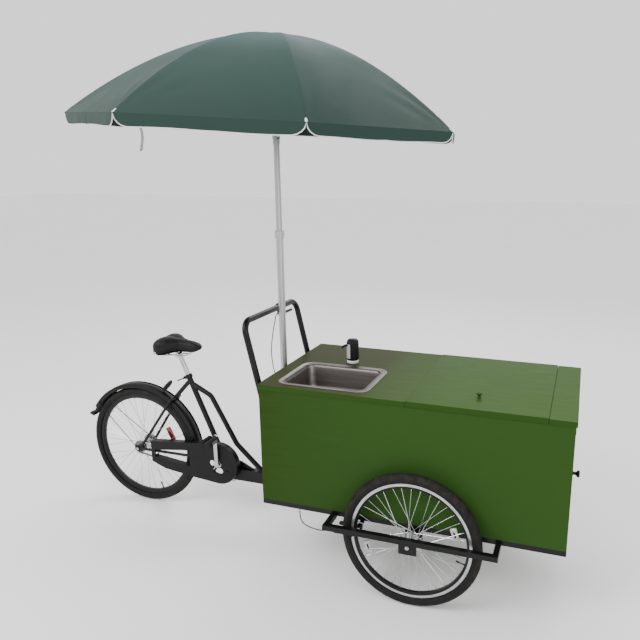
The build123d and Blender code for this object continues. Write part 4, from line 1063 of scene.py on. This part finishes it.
for i in range(8):
    compass = math.radians(PHASE + 45 * i)
    rows = []
    for share in shares:
        radius = SPAN_R * share
        row = []
        for off in offsets:
            tight = math.sin(math.pi * share) * 0.004 * (1 - math.cos(off / HALF_GORE * math.pi)) / 2
            crease = pull_folds(radius, off) * (share < 0.999)
            row.append(head(compass + off, chord(radius, off) - 0.0005, dome(radius) - tight + crease))
        rows.append(row)
    for k in range(1, 6):
        row = []
        for off in offsets:
            slack = 1 + 0.05 * math.sin(off / HALF_GORE * 4.4 + i * 1.7) * (1 - (off / HALF_GORE) ** 8)
            drop = hem_drop(off) * slack * k / 5
            wave = 0.003 * math.sin(off / HALF_GORE * math.pi * 3 + i) * k / 5
            row.append(head(compass + off, chord(SPAN_R, off) - 0.0008 - abs(wave), RIM_H - drop - 0.0006))
        rows.append(row)
    hem = rows[-1]
    mesh = Mesh()
    mesh.loops(rows, False)
    gore = mesh.make(f"canopy_gore_{i + 1}", [CANOPY], f"parasol_rib_{i + 1}", "canopy_green", hard=70)
    thick = gore.modifiers.new("cloth_thickness", "SOLIDIFY")
    thick.thickness = 0.0009
    thick.offset = -1
    crisp = gore.modifiers.new("crisp_hem", "EDGE_SPLIT")
    crisp.split_angle = math.radians(50)
    across = (head(compass + 0.01, 0.5, 0.3) - head(compass - 0.01, 0.5, 0.3)).normalized()
    mesh = Mesh()
    mesh.tube([p + Vector((0, 0, -0.0006)) for p in hem], 0.0021, 8)
    trim = mesh.make(f"canopy_piping_{i + 1}", [WHITE], f"parasol_rib_{i + 1}", "clear_plastic")
    tip = head(compass, SPAN_R - 0.0035, RIM_H + 0.001)
    inward = (head(compass, SPAN_R - 0.05, dome(SPAN_R - 0.05) - 0.004) - tip).normalized()
    mesh = Mesh()
    mesh.lathe(tip + inward * 0.002 + Vector((0, 0, -0.005)), inward,
               [(0, 0.001), (0.0, 0.0052), (0.002, 0.0066), (0.020, 0.0060), (0.024, 0.0042),
                (0.024, 0.001)], 20)
    mesh.make(f"canopy_tip_{i + 1}", [WHITE], f"parasol_rib_{i + 1}", "clear_plastic")
    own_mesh(gore)
    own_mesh(trim)
    if i == 0:
        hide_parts("canopy")
    # bracket that hangs from the rib over the stretcher's end
    joint_r = 0.197
    mesh = Mesh()
    for sign in (-1, 1):
        side = across * 0.0032 * sign
        a = head(compass, joint_r - 0.007, dome(joint_r) - 0.012) + side
        b = head(compass, joint_r + 0.007, dome(joint_r) - 0.012) + side
        c = head(compass, joint_r + 0.004, dome(joint_r) - 0.031) + side
        d = head(compass, joint_r - 0.004, dome(joint_r) - 0.031) + side
        mesh.loops([[p - across * 0.0006 for p in (a, b, c, d)], [p + across * 0.0006 for p in (a, b, c, d)]],
                   True, (True, True))
    mesh.make(f"rib_bracket_{i + 1}", [BRIGHT], f"parasol_rib_{i + 1}", "bright_steel")

# tie strap that hangs from the hem
strap_at = math.radians(PHASE + 45 * 5 + 6)
start = head(strap_at, chord(SPAN_R, math.radians(6)) - 0.004, RIM_H - VALANCE + 0.004)
mesh = Mesh()
rows = []
for k in range(9):
    down = 0.011 * k
    sway = 0.006 * math.sin(k * 0.5)
    rows.append([start + Vector((-0.006 + sway, 0, -down)), start + Vector((0.006 + sway, 0, -down))])
mesh.loops(rows, False)
strap = mesh.make("tie_strap", [STRAP], "parasol_rib_6", "canopy_green")
thick = strap.modifiers.new("web", "SOLIDIFY")
thick.thickness = 0.0012

# clamp knob on the pole
low, high = corners("parasol_lower_pole")
mesh = Mesh()
mesh.lathe(Vector((knuckle.x, knuckle.y + 0.0405, high.z - 0.020)), (0, -1, 0),
           [(0, 0.001), (0, 0.0072), (0.002, 0.0088), (0.012, 0.0088), (0.015, 0.006), (0.019, 0.006),
            (0.019, 0.001)], 24)
mesh.make("pole_clamp_knob", [PLASTIC], "cargo_box", "black_plastic")

# ------------------------------------------------------------------ stage, light and camera

floor_mat, nodes, links, bsdf = shader("studio_floor", (0.93, 0.93, 0.925), 0.8, spec=0.2)
cloud = noise(nodes, links, coords(nodes, links, (1, 1, 1)), 0.6)
pale = ramp(nodes, links, cloud, [(0.3, (0.925, 0.925, 0.92)), (0.7, (0.94, 0.94, 0.935))])
links.new(pale, bsdf.inputs["Base Color"])
floor = bpy.data.meshes.new("floor")
size = 40.0
square = [(-size, -size, 0), (size, -size, 0), (size, size, 0), (-size, size, 0)]
floor.from_pydata(square, [], [(0, 1, 2, 3)])
floor.materials.append(floor_mat)
floor_obj = bpy.data.objects.new("floor", floor)
bpy.context.scene.collection.objects.link(floor_obj)

world = bpy.data.worlds.new("studio")
bpy.context.scene.world = world
world.use_nodes = True
world.node_tree.nodes["Background"].inputs["Color"].default_value = (1.0, 1.0, 1.0, 1)
world.node_tree.nodes["Background"].inputs["Strength"].default_value = 1.35


def softbox(name, place, target, power, width, height, color=(1, 1, 1)):
    light = bpy.data.lights.new(name, "AREA")
    light.shape = "RECTANGLE"
    light.size = width
    light.size_y = height
    light.energy = power
    light.color = color
    obj = bpy.data.objects.new(name, light)
    bpy.context.scene.collection.objects.link(obj)
    obj.location = place
    obj.rotation_euler = (Vector(target) - Vector(place)).to_track_quat("-Z", "Y").to_euler()


softbox("key", (-2.4, -3.6, 4.6), (0.1, 0, 0.9), 210, 3.0, 2.4)
softbox("fill", (3.8, -3.2, 2.6), (0.5, 0, 0.7), 60, 2.6, 2.6)
softbox("rim", (0.5, 4.2, 4.6), (0, 0, 1.4), 120, 4.0, 2.0)

FOCAL = 35.12
YAW, PITCH, ROLL = -0.3098, 0.2348, 0.0043
CAMERA_FROM_HUB = Vector((0.6612, -2.9035, 1.9799))
camera = bpy.data.cameras.new("camera")
camera.sensor_width = 36
camera.lens = FOCAL
camera.shift_x = -0.1016
camera.clip_end = 200
view = bpy.data.objects.new("camera", camera)
bpy.context.scene.collection.objects.link(view)
ahead = Vector((math.sin(YAW) * math.cos(PITCH), math.cos(YAW) * math.cos(PITCH), -math.sin(PITCH)))
flat_right = Vector((math.cos(YAW), -math.sin(YAW), 0))
camera_up = flat_right.cross(ahead)
rolled_right = flat_right * math.cos(ROLL) + camera_up * math.sin(ROLL)
rolled_up = camera_up * math.cos(ROLL) - flat_right * math.sin(ROLL)
turned = Matrix((rolled_right, rolled_up, -ahead)).transposed().to_4x4()
turned.translation = CAMERA_FROM_HUB + Vector((right_hub.x, 0, 0))
view.matrix_world = turned
bpy.context.scene.camera = view
